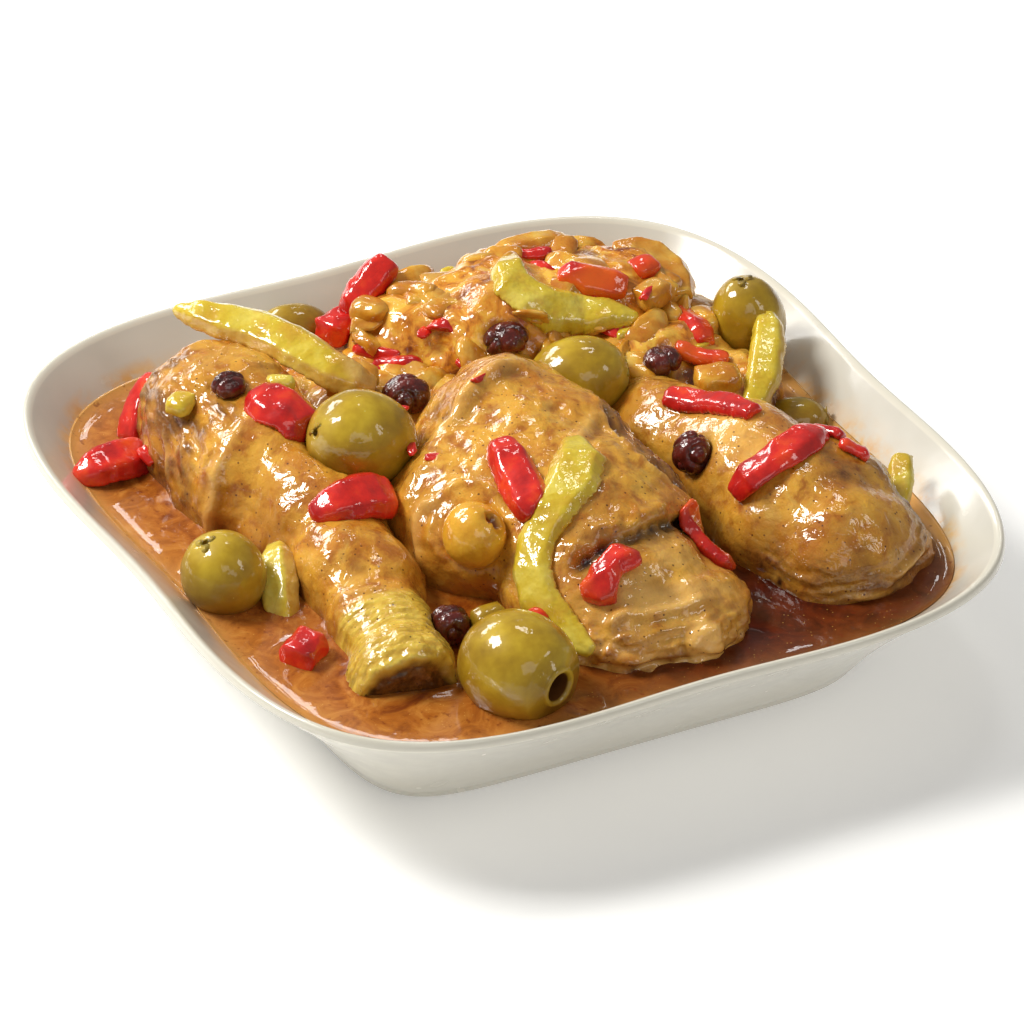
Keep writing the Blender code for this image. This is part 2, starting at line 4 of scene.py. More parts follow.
import itertools
from math import cos, pi, radians, sin, sqrt, tau
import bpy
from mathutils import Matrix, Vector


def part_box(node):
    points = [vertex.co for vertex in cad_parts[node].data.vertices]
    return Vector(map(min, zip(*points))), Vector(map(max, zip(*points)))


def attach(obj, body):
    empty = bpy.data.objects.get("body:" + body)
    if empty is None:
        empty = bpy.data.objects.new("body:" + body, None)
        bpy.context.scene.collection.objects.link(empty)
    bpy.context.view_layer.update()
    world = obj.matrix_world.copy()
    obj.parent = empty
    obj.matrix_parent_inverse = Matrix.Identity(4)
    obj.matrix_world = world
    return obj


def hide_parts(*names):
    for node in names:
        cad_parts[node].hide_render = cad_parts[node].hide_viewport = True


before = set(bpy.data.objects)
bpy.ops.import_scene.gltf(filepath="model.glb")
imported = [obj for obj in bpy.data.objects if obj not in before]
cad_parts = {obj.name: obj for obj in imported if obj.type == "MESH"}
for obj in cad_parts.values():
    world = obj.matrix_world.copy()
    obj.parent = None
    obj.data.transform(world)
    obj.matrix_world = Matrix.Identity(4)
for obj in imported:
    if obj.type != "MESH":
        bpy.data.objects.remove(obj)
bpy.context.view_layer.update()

from types import SimpleNamespace

import bmesh
import bpy
import numpy as np
from mathutils import Matrix, Vector
from mathutils.bvhtree import BVHTree

SCENE = bpy.context.scene
MM = 0.001

# The dish, as in the part's source: a rounded square that flares from its foot to its rim.
RIM_HALF = 90.0
RIM_HEIGHT = 35.2
RIM_SQUARENESS = 4.4
SIDE_BOW = 0.0063
LIP = 1.7
FOOT_HALF = 60.7
FOOT_SQUARENESS = 7.1
FOOT_ROUND = 2.5
FOOT_RECESS = 1.5
FOOT_RING = 5.0
FLARE = 1.3
LIP_ROUND = 1.0
WALL = 3.5
FLOOR = 6.0
DISH_AROUND = 288
# The round corner inside: height above the floor and distance from the outer wall.
INSIDE = ((0.0, 11.0), (0.9, 7.2), (4.0, 4.2), (10.0, WALL), (21.0, WALL))
SAUCE_LEVEL = 26.5
SAUCE_AROUND, SAUCE_RINGS = 480, 100
INTO_WALL = 0.5

# Olives: long and short radius, direction of the stoned end, hole radius.
OLIVES = {
    "olive_top": (12.2, 10.8, (-0.86, 0, 0.37), 0),
    "olive_left": (9.6, 9, (-0.43, 0.09, 0.89), 0),
    "olive_front": (13.4, 11.8, (0.35, -0.93, 0), 3.2),
    "olive_centre_back": (11, 9.2, (0.85, -0.45, 0.2), 0),
    "olive_back_right": (10.6, 8.2, (-0.15, 0.1, 0.98), 0),
    "olive_far_left": (8.5, 6.2, (0.9, -0.35, 0.1), 0),
    "olive_right_small": (7.5, 5.5, (0.8, -0.5, 0.2), 0),
}
OLIVE_AROUND, OLIVE_RINGS = 64, 44

# Loose strands at the meaty end of the left drumstick, the skin's edge across it, and its ankle's cuff.
LEFT_STRANDS = [
    ((-44, 52, 46), (-50, 50, 45), (-55, 46, 43), (-58, 41, 42)),
    ((-38, 53, 47), (-45, 48, 49), (-51, 44, 48), (-56, 38, 45.5)),
    ((-58.4, 41.8, 44.9), (-61, 36, 42), (-62.5, 30, 37), (-63.5, 24, 31)),
    ((-62, 42, 39), (-64, 36, 34), (-64.5, 29, 28.5)),
    ((-34, 42, 46), (-41, 40, 49.5), (-48, 38, 49.5)),
]
LEFT_EDGE = [
    (-52, 24, 48), (-57, 21, 44.5), (-60.9, 19.4, 40.7), (-62.2, 17.6, 34.5), (-63.9, 17.5, 30),
    (-62, 17.7, 24),
]
CUFF = [(-57, -27, 33.5), (-52, -29.5, 37.5), (-46, -30.5, 38.8), (-40, -29, 36)]
SECOND_CUFF = [(-57.5, -23, 33), (-51, -26, 38), (-45, -27.5, 39), (-39, -25.5, 37)]

# On the centre thigh: folds of skin with their width and rise, the skin's right edge, the crevice under it,
# ledges in the bare meat below, and the knob at the bone's end with the groove beside it.
SKIN_FOLDS = [
    (((4.8, 9.4, 55.6), (-1.7, 7.9, 55.6), (-8.3, 5.5, 53), (-13.5, 2.5, 49.5), (-20, 1, 44.5)), 1.9, 1.4),
    (((-27, -17.2, 43.7), (-29.5, -14, 42), (-31, -17, 37), (-32.3, -20, 32.6)), 1.6, 0.9),
    (((14.5, -10.7, 51.3), (8, -17, 52), (2, -22, 51), (-2, -28, 50)), 1.5, 0.6),
    (((10, -30, 49.5), (4, -37, 48.5), (-3, -41, 47)), 1.4, 0.6),
]
SKIN_EDGE = [
    (18.8, -0.7, 49.7), (16.5, -10.7, 51), (15.6, -17.5, 49.5), (16, -28.2, 49.5), (19.5, -32.8, 46),
    (23.5, -35.6, 42),
]
CREVICE = [
    (-12.5, -47.6, 40.5), (-8.3, -48.2, 44.2), (-4.6, -47.9, 45.5), (2.3, -46.8, 45.4), (10.7, -44.7, 45),
    (19, -41, 41.5), (25.5, -36, 38),
]
LEDGES = [
    [(-9.8, -63.8, 34.6), (-7.8, -62.3, 36.4), (0.4, -63.9, 36.2), (7.8, -64, 36.2), (14, -63, 35.5)],
    [(-9, -67, 29), (-2, -68.8, 29.5), (3, -69.8, 31)],
    [(-12, -64, 25), (-5.9, -68.2, 26), (1, -70, 25.5)],
]
KNOB = (8.6, -70, 30.5)
KNOB_GROOVE = [(4.5, -70, 33), (3.5, -70, 29), (6, -69.5, 25.5)]

# Strands and a long fold of skin on the right drumstick.
RIGHT_STRANDS = [
    [(66, -33, 43), (70, -41, 39), (73, -49, 34), (73, -57, 28.5)],
    [(56, -66, 30), (62, -64.5, 31), (68, -60, 31)],
    [(47, -66.5, 28), (53, -66.5, 27.5), (60, -65, 28)],
]
RIGHT_FOLD = [(36, -30, 41), (42, -36, 44), (49, -47, 43.5), (54, -56, 41)]

# Thin red slivers on the skin: centre, half sizes and turn in degrees.
FLAKES = [
    ((-4, 6.7, 55.6), (3, 1.3, 0.8), 20), ((-24, 0.5, 46.8), (2, 1, 0.7), 60),
    ((-21.9, -6.8, 48), (2.4, 0.9, 0.6), -20), ((60, -30, 44.4), (2.6, 1.1, 0.7), -50),
    ((-64.8, 44, 31), (1.2, 2.6, 1), 20), ((-15.5, 22, 42), (1.8, 1, 0.8), -30),
    ((52, 34, 46.5), (2.6, 1.2, 0.8), 35), ((30, 58, 46), (2.8, 1.2, 0.8), 10),
]

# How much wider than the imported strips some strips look.
WIDER = {
    "pepper_on_left": 1.3, "pepper_left": 1.15, "pepper_beside_left": 1.2, "pepper_centre": 1.25,
    "pepper_far_left": 1.2, "pepper_back_left": 1.2, "pepper_thigh_right": 1.2, "lemon_front": 1.15,
    "lemon_right": 1.15, "lemon_back": 1.25, "pepper_on_right": 0.95, "pepper_right_upper": 0.95,
}

# Strips of pepper that are more orange than red.
ORANGE = (
    "pepper_crease", "pepper_thigh_right", "pepper_back_lower", "pepper_dice_back", "pepper_back_right",
    "pepper_under_lemon",
)

# The side of each strip of lemon where its pale pith shows.
PITH_SIDES = {
    "lemon_left": (-0.6, -0.75, -0.1), "lemon_centre": (0.9, -0.1, 0.1), "lemon_front": (0.7, -0.2, 0.5),
    "lemon_right": (0.7, -0.2, 0.1), "lemon_far": (-0.6, -0.6, 0.3),
}

# Studio lamps, in metres: place, size, power in watts and colour. All aim at the middle of the food.
AIM = (0, 0, 0.03)
LAMPS = {
    "key_window": ((-0.70, 0.50, 1.00), (0.42, 0.42), 15.5, (1.0, 0.985, 0.94)),
    "back_window": ((-0.25, 1.05, 0.60), (0.6, 0.25), 5, (1.0, 0.99, 0.96)),
    "top_back": ((0.35, 0.50, 1.25), (0.25, 0.2), 1.5, (1.0, 0.99, 0.96)),
    "side_window": ((0.62, -0.77, 0.83), (0.3, 0.4), 1.6, (1.0, 0.98, 0.94)),
    "fill_front": ((-0.3, -1.4, 1.0), (0.9, 0.6), 2.4, (1.0, 0.98, 0.94)),
}
# Places in the sauce that mirror a small lamp toward the camera, with the lamp's size in metres.
GLINTS = [
    ((-68, 58.4, 26.5), (0.055, 0.035)), ((-75.6, 22.5, 26.5), (0.022, 0.030)),
    ((-71, -39, 26.5), (0.045, 0.040)), ((70.3, -67.6, 26.5), (0.024, 0.016)),
    ((-3, 55.4, 34), (0.040, 0.026)),
]
GLINT_WAY = (0.413, 0.729, 0.546)
GLINT_DISTANCE = 1.15
GLINT_POWER = 40


# -------- meshes


def waves(points, size, seed=0):
    """Smooth random values, from about -1 to 1, that change over the given size."""
    at = points / size + seed * 17.31
    cell = np.floor(at).astype(np.int64)
    t = at - cell
    t = t * t * (3 - 2 * t)
    total = np.zeros(len(at))
    for corner in itertools.product((0, 1), repeat=3):
        key = cell + np.array(corner)
        mixed = (key[:, 0] * 73856093) ^ (key[:, 1] * 19349663) ^ (key[:, 2] * 83492791)
        mixed = (mixed ^ (mixed >> 13)) * 1274126177
        value = ((mixed ^ (mixed >> 16)) & 0xFFFFF) / 0x80000 - 1
        total += np.prod(np.where(corner, t, 1 - t), axis=1) * value
    return total


def ridged(points, size, seed=0):
    """Creased random values, 0 on the creases and up to 1 between them."""
    return np.abs(waves(points, size, seed)) ** 0.7


def read(obj, what):
    flat = np.empty(len(obj.data.vertices) * 3, np.float32)
    obj.data.vertices.foreach_get(what, flat)
    return flat.reshape(-1, 3).astype(float)


def get_points(obj):
    return read(obj, "co") / MM


def get_normals(obj):
    return read(obj, "normal")


def set_points(obj, points):
    obj.data.vertices.foreach_set("co", (points * MM).astype(np.float32).ravel())
    obj.data.update()


def push(obj, heights):
    """Moves every vertex along its normal by its height in millimetres."""
    set_points(obj, get_points(obj) + get_normals(obj) * np.asarray(heights)[:, None])


def paint(obj, name, values):
    """Stores a value for each vertex, which the object's material reads by name."""
    layer = obj.data.attributes.new(name, "FLOAT", "POINT")
    layer.data.foreach_set("value", np.clip(values, 0, 1).astype(np.float32))


def placed(name, data):
    obj = bpy.data.objects.new(name, data)
    SCENE.collection.objects.link(obj)
    return obj


def new_object(name, bm):
    mesh = bpy.data.meshes.new(name)
    bm.to_mesh(mesh)
    bm.free()
    mesh.shade_smooth()
    return placed(name, mesh)


def grow_from(node, name, voxel, soften, swell, finer=0):
    """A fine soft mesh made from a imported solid."""
    bm = bmesh.new()
    bm.from_mesh(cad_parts[node].data)
    bmesh.ops.remove_doubles(bm, verts=bm.verts, dist=0.00001)
    obj = new_object(name, bm)
    remesh = obj.modifiers.new("remesh", "REMESH")
    remesh.mode = "VOXEL"
    remesh.voxel_size = voxel * MM
    smooth = obj.modifiers.new("soften", "SMOOTH")
    smooth.iterations = soften
    if finer:
        subdivide = obj.modifiers.new("finer", "SUBSURF")
        subdivide.levels = subdivide.render_levels = finer
    bpy.context.view_layer.update()
    graph = bpy.context.evaluated_depsgraph_get()
    mesh = bpy.data.meshes.new_from_object(obj.evaluated_get(graph))
    obj.modifiers.clear()
    obj.data = mesh
    mesh.shade_smooth()
    push(obj, np.full(len(mesh.vertices), swell))
    return obj


def packed_surface(*nodes):
    """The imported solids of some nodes, for finding the nearest place on them."""
    bm = bmesh.new()
    for node in nodes:
        bm.from_mesh(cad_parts[node].data)
    tree = BVHTree.FromBMesh(bm)
    bm.free()
    return tree


def smooth_line(points, count=40):
    """Points at even steps on a Catmull-Rom curve through the given ones."""
    points = [Vector(p) for p in points]
    ends = [2 * points[0] - points[1], *points, 2 * points[-1] - points[-2]]
    found = []
    for k in range(count):
        u = k / (count - 1) * (len(points) - 1)
        i = min(int(u), len(points) - 2)
        t = u - i
        a, b, c, d = ends[i : i + 4]
        curve = 2 * b + (c - a) * t + (2 * a - 5 * b + 4 * c - d) * t * t + (3 * b - a - 3 * c + d) * t**3
        found.append(0.5 * curve)
    return np.array(found)


def blunted(points, amount, wider):
    """Widens a strip about its bent spine, most toward its ends, so that they look cut and not pointed."""
    middle = points.mean(axis=0)
    axis = np.linalg.svd(points - middle, full_matrices=False)[2][0]
    along = (points - middle) @ axis
    reach = np.abs(along).max()
    steps = np.linspace(-reach, reach, 15)
    spine = []
    for place in steps:
        weight = np.exp(-(((along - place) / (reach * 0.12)) ** 2))
        spine.append((points * weight[:, None]).sum(axis=0) / weight.sum())
    core = np.stack([np.interp(along, steps, np.array(spine)[:, k]) for k in range(3)], axis=1)
    aside = points - core
    aside -= (aside @ axis)[:, None] * axis
    return points + aside * (wider - 1 + amount * np.abs(along / reach) ** 2.2)[:, None]


def near(points, line, width):
    """1 on a line, falling to 0 a few widths away; softer at the line's ends."""
    spine = smooth_line(line)
    found = np.zeros(len(points))
    low, high = spine.min(axis=0) - 3 * width, spine.max(axis=0) + 3 * width
    close = np.where(np.all((points > low) & (points < high), axis=1))[0]
    for start in range(0, len(close), 4000):
        some = close[start : start + 4000]
        gaps = np.linalg.norm(points[some, None] - spine[None], axis=2)
        nearest = gaps.argmin(axis=1)
        along = nearest / (len(spine) - 1)
        fade = np.clip(np.minimum(along, 1 - along) * 6 + 0.25, 0, 1)
        found[some] = np.exp(-((gaps.min(axis=1) / width) ** 2)) * fade
    return found


def blob(points, centre, radii):
    """1 at a centre, falling smoothly to 0 around its radii."""
    away = np.linalg.norm((points - centre) / radii, axis=1)
    return np.exp(-(away**2) * 1.4)


def step(values, low, high):
    """0 below low, 1 above high, smooth between."""
    t = np.clip((values - low) / (high - low), 0, 1)
    return t * t * (3 - 2 * t)


# -------- materials


class Shader:
    """A Principled material and short calls that add the nodes behind it."""

    def __init__(self, name, **values):
        self.material = bpy.data.materials.new(name)
        self.material.use_nodes = True
        self.tree = self.material.node_tree
        self.surface = self.tree.nodes["Principled BSDF"]
        self.feed(self.surface, {key.replace("_", " "): value for key, value in values.items()})
        self.place = self.tree.nodes.new("ShaderNodeTexCoord").outputs["Object"]

    def feed(self, node, values):
        """Sets a node's sockets, by name or number, to numbers and vectors, or links them to sources."""
        for key, value in values.items():
            if isinstance(value, bpy.types.NodeSocket):
                self.tree.links.new(value, node.inputs[key])
            else:
                node.inputs[key].default_value = value

    def node(self, kind, values, **settings):
        node = self.tree.nodes.new("ShaderNode" + kind)
        for key, value in settings.items():
            setattr(node, key, value)
        self.feed(node, values)
        return node

    def noise(self, size, detail=3.0, rough=0.55, warp=0.0):
        """Noise whose lumps are about size millimetres across."""
        values = {"Scale": 1 / (size * MM), "Detail": detail, "Roughness": rough, "Distortion": warp}
        return self.node("TexNoise", {**values, "Vector": self.place}).outputs["Fac"]

    def cells(self, size, stretch=(1, 1, 1)):
        """Distance from scattered points about size millimetres apart."""
        place = self.node("Mapping", {"Vector": self.place, "Scale": stretch}).outputs["Vector"]
        return self.node("TexVoronoi", {"Scale": 1 / (size * MM), "Vector": place}).outputs["Distance"]

    def painted(self, name):
        return self.node("Attribute", {}, attribute_name=name).outputs["Fac"]

    def height(self, low, high):
        """0 at the low and 1 at the high height in millimetres."""
        place = self.node("SeparateXYZ", {0: self.place}).outputs["Z"]
        values = {"Value": place, "From Min": low * MM, "From Max": high * MM}
        return self.node("MapRange", values).outputs["Result"]

    def times(self, a, b):
        return self.node("Math", {0: a, 1: b}, operation="MULTIPLY").outputs[0]

    def ramp(self, value, *stops):
        """Colours, or greys, by value: stops are (position, colour or number)."""
        node = self.node("ValToRGB", {"Fac": value})
        elements = node.color_ramp.elements
        while len(elements) < len(stops):
            elements.new(0.5)
        for element, (position, colour) in zip(elements, stops):
            element.position = position
            element.color = (*(colour if isinstance(colour, tuple) else [colour] * 3), 1)
        return node.outputs["Color"]

    def mix(self, factor, first, second, blend="MIX"):
        first, second = ((*c, 1) if isinstance(c, tuple) else c for c in (first, second))
        node = self.node("Mix", {}, data_type="RGBA", blend_type=blend)
        self.feed(node, {0: factor, 6: first, 7: second})
        return node.outputs[2]

    def over(self, base, colour, value, *stops):
        """Lays a colour over the base, by the share that a ramp gives for a value."""
        return self.mix(self.ramp(value, *stops), base, colour)

    def zone(self, base, name, colour):
        """Lays a colour over the base where the piece is painted."""
        return self.mix(self.painted(name), base, colour)

    def specks(self, base, colour, apart, radii, value, *stops):
        """Dots of a colour, some millimetres apart, kept where a ramp of a value allows them."""
        dots = self.ramp(self.cells(apart), (radii[0], 1.0), (radii[1], 0.0))
        return self.mix(self.times(dots, self.ramp(value, *stops)), base, colour)

    def colour(self, source):
        self.feed(self.surface, {"Base Color": source})

    def bump(self, *layers, coat=None):
        """Bump from layers of (height, millimetres); coat lists those that shape the wet film."""
        self.feed(self.surface, {"Normal": self.bumped(layers)})
        if coat:
            self.feed(self.surface, {"Coat Normal": self.bumped(coat)})

    def bumped(self, layers):
        below = {}
        for height, depth in layers:
            node = self.node("Bump", {"Strength": 1.0, "Distance": depth * MM, "Height": height, **below})
            below = {"Normal": node.outputs["Normal"]}
        return node.outputs["Normal"]


def wet(name, subsurface, radius, roughness=0.4, coat=1.0, film=0.04):
    """Start of a material for moist food under a clear film of sauce."""
    return Shader(
        name, Roughness=roughness, Specular_IOR_Level=0.1, Coat_Weight=coat, Coat_Roughness=film,
        Coat_IOR=1.6, Subsurface_Weight=subsurface, Subsurface_Radius=radius, Subsurface_Scale=0.003,
    )


def skin_material(name, pale, tan, darkest):
    """Braised chicken skin: mottled gold, with brown specks and wet highlights; painted shade darkens its
    creases and painted highlights lighten its ridges.
    """
    s = wet(name, 0.12, (1.0, 0.5, 0.15), roughness=0.45)
    fine = s.noise(4.5, 5, 0.6, 0.4)
    base = s.ramp(s.noise(12, 4, 0.6, 0.5), (0.34, tan), (0.5, pale), (0.58, pale), (0.68, tan))
    base = s.over(base, darkest, fine, (0.48, 0.0), (0.66, 0.8))
    base = s.over(base, (0.70, 0.43, 0.09), s.noise(7, 5, 0.6, 0.8), (0.54, 0.0), (0.66, 0.5))
    base = s.over(base, (0.40, 0.120, 0.010), s.noise(24, 4, 0.6, 0.5), (0.40, 0.45), (0.56, 0.0))
    # Painted shade: red-brown in the creases, hollows and undersides of the meat.
    base = s.zone(base, "crease", (0.18, 0.050, 0.006))
    brown = s.ramp(s.noise(1.5, 5, 0.7), (0.35, (0.27, 0.10, 0.015)), (0.65, (0.085, 0.025, 0.005)))
    base = s.zone(base, "brown", brown)
    yellow = s.ramp(fine, (0.4, (0.78, 0.56, 0.08)), (0.65, (0.62, 0.40, 0.04)))
    base = s.zone(base, "yellow", yellow)
    # Pale cream: the meat's own pale where torn and at the knob, and painted highlight on ridges, folds,
    # strands and tops.
    base = s.zone(base, "light", (0.88, 0.52, 0.14))
    # Near black: painted shade in the crevice, beside the skin's edge and in the hollow cut end, and the
    # real char, strings and speck of pepper.
    base = s.zone(base, "dark", (0.030, 0.008, 0.003))
    pepper = (0.08, 0.018, 0.004)
    s.colour(s.specks(base, pepper, 1.7, (0.10, 0.18), s.noise(1.3, 2, 0.5), (0.46, 0.0), (0.52, 0.9)))
    pebble = s.noise(1.6, 5, 0.65)
    drips = s.noise(3.4, 3, 0.5, 0.6)
    scales = s.times(s.cells(1.3, (0.7, 1.4, 0.7)), s.painted("yellow"))
    s.bump((pebble, 0.3), (drips, 0.3), (scales, 0.25), coat=[(drips, 0.5), (scales, 0.10)])
    return s.material


# -------- dish


def wall_radius(angle, height):
    """Distance of the dish's outer wall from its centre line at a height, in a direction."""
    down = min(max(1 - height / (RIM_HEIGHT - LIP), 0.0), 1.0)
    half = RIM_HALF + (FOOT_HALF - RIM_HALF) * (1 - (1 - down) ** FLARE)
    power = RIM_SQUARENESS + (FOOT_SQUARENESS - RIM_SQUARENESS) * down
    c, s = abs(cos(angle)), abs(sin(angle))
    bow = 1 + SIDE_BOW * (1 - cos(8 * angle)) * (1 - down)
    return half * bow * (c**power + s**power) ** (-1 / power)


def ring(bm, height, inset, follow):
    """Loop of vertices around the dish at a height, set in from the wall as it is at follow."""
    loop = []
    for i in range(DISH_AROUND):
        angle = tau * i / DISH_AROUND
        radius = wall_radius(angle, follow) - inset
        place = Vector((radius * cos(angle), radius * sin(angle), height))
        loop.append(bm.verts.new(place * MM))
    return loop


def bridge(bm, *loops):
    """Joins each loop of vertices to the next."""
    for first, second in zip(loops, loops[1:]):
        for i in range(len(first)):
            j = (i + 1) % len(first)
            bm.faces.new((first[i], first[j], second[j], second[i]))


def fan(bm, loop, height, upward):
    """Closes a loop with a centre vertex."""
    centre = bm.verts.new((0, 0, height * MM))
    for i in range(len(loop)):
        pair = (loop[i], loop[(i + 1) % len(loop)])
        bm.faces.new((*pair, centre) if upward else (*reversed(pair), centre))


def foot_profile():
    """The foot's recess and flat ring, and the round corner from it to the wall."""
    ring_end = FOOT_ROUND + FOOT_RING
    rings = [(FOOT_RECESS, ring_end + 1.4, 0), (0.5, ring_end + 0.3, 0)]
    rings += [(0, ring_end - 0.6, 0), (0, FOOT_ROUND + 0.2, 0)]
    for turn in np.linspace(0, pi / 2, 7)[1:]:
        height = FOOT_ROUND * (1 - cos(turn))
        rings.append((height, FOOT_ROUND * (1 - sin(turn)), height * 0.6))
    return rings


def lip_profile():
    """A quarter round outside, then a curve that runs smoothly down into the sloping inside."""
    edge = RIM_HEIGHT - LIP
    top, turning, end = np.array([(LIP_ROUND, LIP), (1.75, 1.65), (2.95, 0.5)])
    rings = []
    for turn in np.linspace(0, pi / 2, 7):
        rings.append((edge + LIP * sin(turn), LIP_ROUND - LIP_ROUND * cos(turn), edge))
    for t in np.linspace(0, 1, 9)[1:]:
        inset, rise = (1 - t) ** 2 * top + 2 * t * (1 - t) * turning + t * t * end
        rings.append((edge + rise, inset, edge))
    return rings


def inside_profile():
    """Down the inner wall and round its corner to the flat floor."""
    rings = [(height, WALL, height) for height in (32.4, 30, 27.5, 25)]
    corner = [(FLOOR + height, inset) for height, inset in reversed(INSIDE)]
    for (upper, i0), (lower, i1) in zip(corner, corner[1:]):
        for t in (0, 0.25, 0.5, 0.75):
            height = upper + (lower - upper) * t
            if height < 24:
                rings.append((height, i0 + (i1 - i0) * t, height))
    return [*rings, (FLOOR, INSIDE[0][1], FLOOR)]


def make_dish():
    """The glazed dish with a full round lip, a flat foot ring and a smooth inside."""
    wall = [(height, 0, height) for height in (4, 6, 8, 10.5, 13, 16, 19, 22, 25, 28, 30.5, 32.4)]
    bm = bmesh.new()
    loops = [ring(bm, *line) for line in foot_profile() + wall + lip_profile() + inside_profile()]
    bridge(bm, *loops)
    fan(bm, loops[0], FOOT_RECESS, False)
    fan(bm, loops[-1], FLOOR, True)
    bmesh.ops.recalc_face_normals(bm, faces=bm.faces)
    obj = new_object("dish_glazed", bm)
    paint_dish(obj)
    obj.data.materials.append(glaze_material())
    return obj


def toward(angles, centre, width):
    """1 in a direction, in radians from +X, and near 0 two widths to its sides."""
    turned = (angles - centre + pi) % tau - pi
    return np.exp(-((turned / width) ** 2))


def paint_dish(obj):
    """Paints the inside a little greyer as painted shade, its film and smears of sauce, and painted shade at
    the left, browned as a painted reflection of the sauce.
    """
    points = get_points(obj)
    x, y, height = points.T
    angle = np.arctan2(y, x)
    outside = np.array([wall_radius(a, h) for a, h in zip(angle, height)])
    inside = np.hypot(x, y) < outside - WALL * 0.7
    uneven = waves(points, 9, 3) * 1.2 + waves(points, 3.5, 4) * 0.7
    film = 1 - step(height + uneven, SAUCE_LEVEL + 0.6, SAUCE_LEVEL + 2.2)
    smear = toward(angle, 0.1, 0.42) + 0.5 * toward(angle, 0.95, 0.35)
    smear *= 1 - step(height + 3 * waves(points, 12, 5), SAUCE_LEVEL, RIM_HEIGHT - 3)
    # Painted shade on the left inner wall, browned as a painted reflection of the sauce.
    shade = toward(angle, 3.05, 0.55) * (1 - step(height, SAUCE_LEVEL + 1, RIM_HEIGHT))
    paint(obj, "film", np.where(inside, np.maximum(film, smear * 0.55), 0))
    paint(obj, "shade", np.where(inside, shade * 0.8, 0))
    # Painted shade: the inside is marked so that its glaze is painted a little greyer.
    paint(obj, "inside", np.where(inside, 1.0, 0))


def glaze_material():
    s = Shader("white_glaze", Roughness=0.25, Coat_Weight=0.3, Coat_Roughness=0.10, IOR=1.45)
    base = s.ramp(s.noise(40, 3, 0.5), (0.35, (0.69, 0.655, 0.555)), (0.65, (0.73, 0.70, 0.605)))
    # Painted shade: the inside a little greyer than the outside.
    base = s.mix(s.painted("inside"), base, (0.90, 0.905, 0.93), blend="MULTIPLY")
    # Painted shade at the left, browned as a painted reflection of the sauce.
    base = s.zone(base, "shade", (0.46, 0.30, 0.19))
    blush = s.ramp(s.noise(6, 4, 0.6), (0.3, (0.70, 0.36, 0.10)), (0.7, (0.80, 0.55, 0.24)))
    patchy = s.ramp(s.noise(5, 4, 0.6), (0.42, 0.25), (0.6, 1.0))
    base = s.mix(s.times(s.painted("film"), patchy), base, blush)
    s.colour(base)
    s.feed(s.surface, {"Roughness": s.ramp(s.noise(9, 3, 0.5), (0.3, 0.16), (0.7, 0.28))})
    s.bump((s.noise(11, 2, 0.4), 0.2))
    return s.material


# -------- sauce


def front_right(points):
    """1 at the front right of the pool, where the sauce is painted darker brown, 0 elsewhere."""
    return step(points[:, 0] - points[:, 1] * 0.25, -20, 25) * step(-points[:, 1], 10, 50)


def pool_edge(angles, height):
    """Radius of the pool in each direction at a height, just into the wall."""
    return np.array([wall_radius(a, height) for a in angles]) - WALL + INTO_WALL


def pool_top(angles, outline, ground):
    """Points of the pool's surface, rippled and climbing the wall and what stands in it."""
    fractions = 1 - (1 - np.linspace(0.22, 1, SAUCE_RINGS)) ** 1.15
    radius = outline[None] * fractions[:, None]
    x, y = radius * np.cos(angles), radius * np.sin(angles)
    top = np.stack([x.ravel(), y.ravel(), np.full(x.size, SAUCE_LEVEL)], axis=1)
    to_wall = (outline[None] - radius).ravel()
    away = np.array([ground.find_nearest(Vector(p) * MM)[3] for p in top]) / MM
    climb = 0.9 * np.exp(-to_wall / 1.0) + 0.9 * (1 - 0.85 * front_right(top)) * np.exp(-away / 1.3)
    ripple = 0.08 * waves(top, 18, 1) + 0.02 * waves(top, 7, 2)
    top[:, 2] += ripple + climb - 0.25
    return top


def make_sauce(ground):
    """The pool, over a flat underside."""
    angles = np.arange(SAUCE_AROUND) * tau / SAUCE_AROUND
    outline = pool_edge(angles, SAUCE_LEVEL)
    bm = bmesh.new()
    upper = [bm.verts.new(Vector(p) * MM) for p in pool_top(angles, outline, ground)]
    loops = [upper[r * SAUCE_AROUND : (r + 1) * SAUCE_AROUND] for r in range(SAUCE_RINGS)]
    bridge(bm, *loops)
    fan(bm, list(reversed(loops[0])), SAUCE_LEVEL - 1, False)
    bottom = SAUCE_LEVEL - 3
    under = []
    for a, r in zip(angles, pool_edge(angles, bottom)):
        under.append(bm.verts.new((r * cos(a) * MM, r * sin(a) * MM, bottom * MM)))
    bridge(bm, loops[-1], under)
    fan(bm, under, bottom, False)
    bmesh.ops.recalc_face_normals(bm, faces=bm.faces)
    obj = new_object("sauce_pool", bm)
    points = get_points(obj)
    x, y = points[:, 0], points[:, 1]
    inward = np.interp(np.arctan2(y, x) % tau, angles, outline) - np.hypot(x, y)
    side = front_right(points)
    # Darker brown at the front right of the pool.
    paint(obj, "darkest", side * (0.95 + 0.2 * waves(points, 12, 8)))
    # Paler where the sauce thins at the wall; by the right wall a paler band that is a painted reflection.
    thin = 0.75 * np.exp(-inward / 2.2) + 0.25 * np.exp(-inward / 9)
    right = step(x, 72, 79)
    paint(obj, "shallow_and_reflection", thin * (1 - 0.7 * side * (1 - right)) + 0.8 * right * np.exp(-((inward / 5) ** 2)))
    obj.data.materials.append(sauce_material())
    return obj


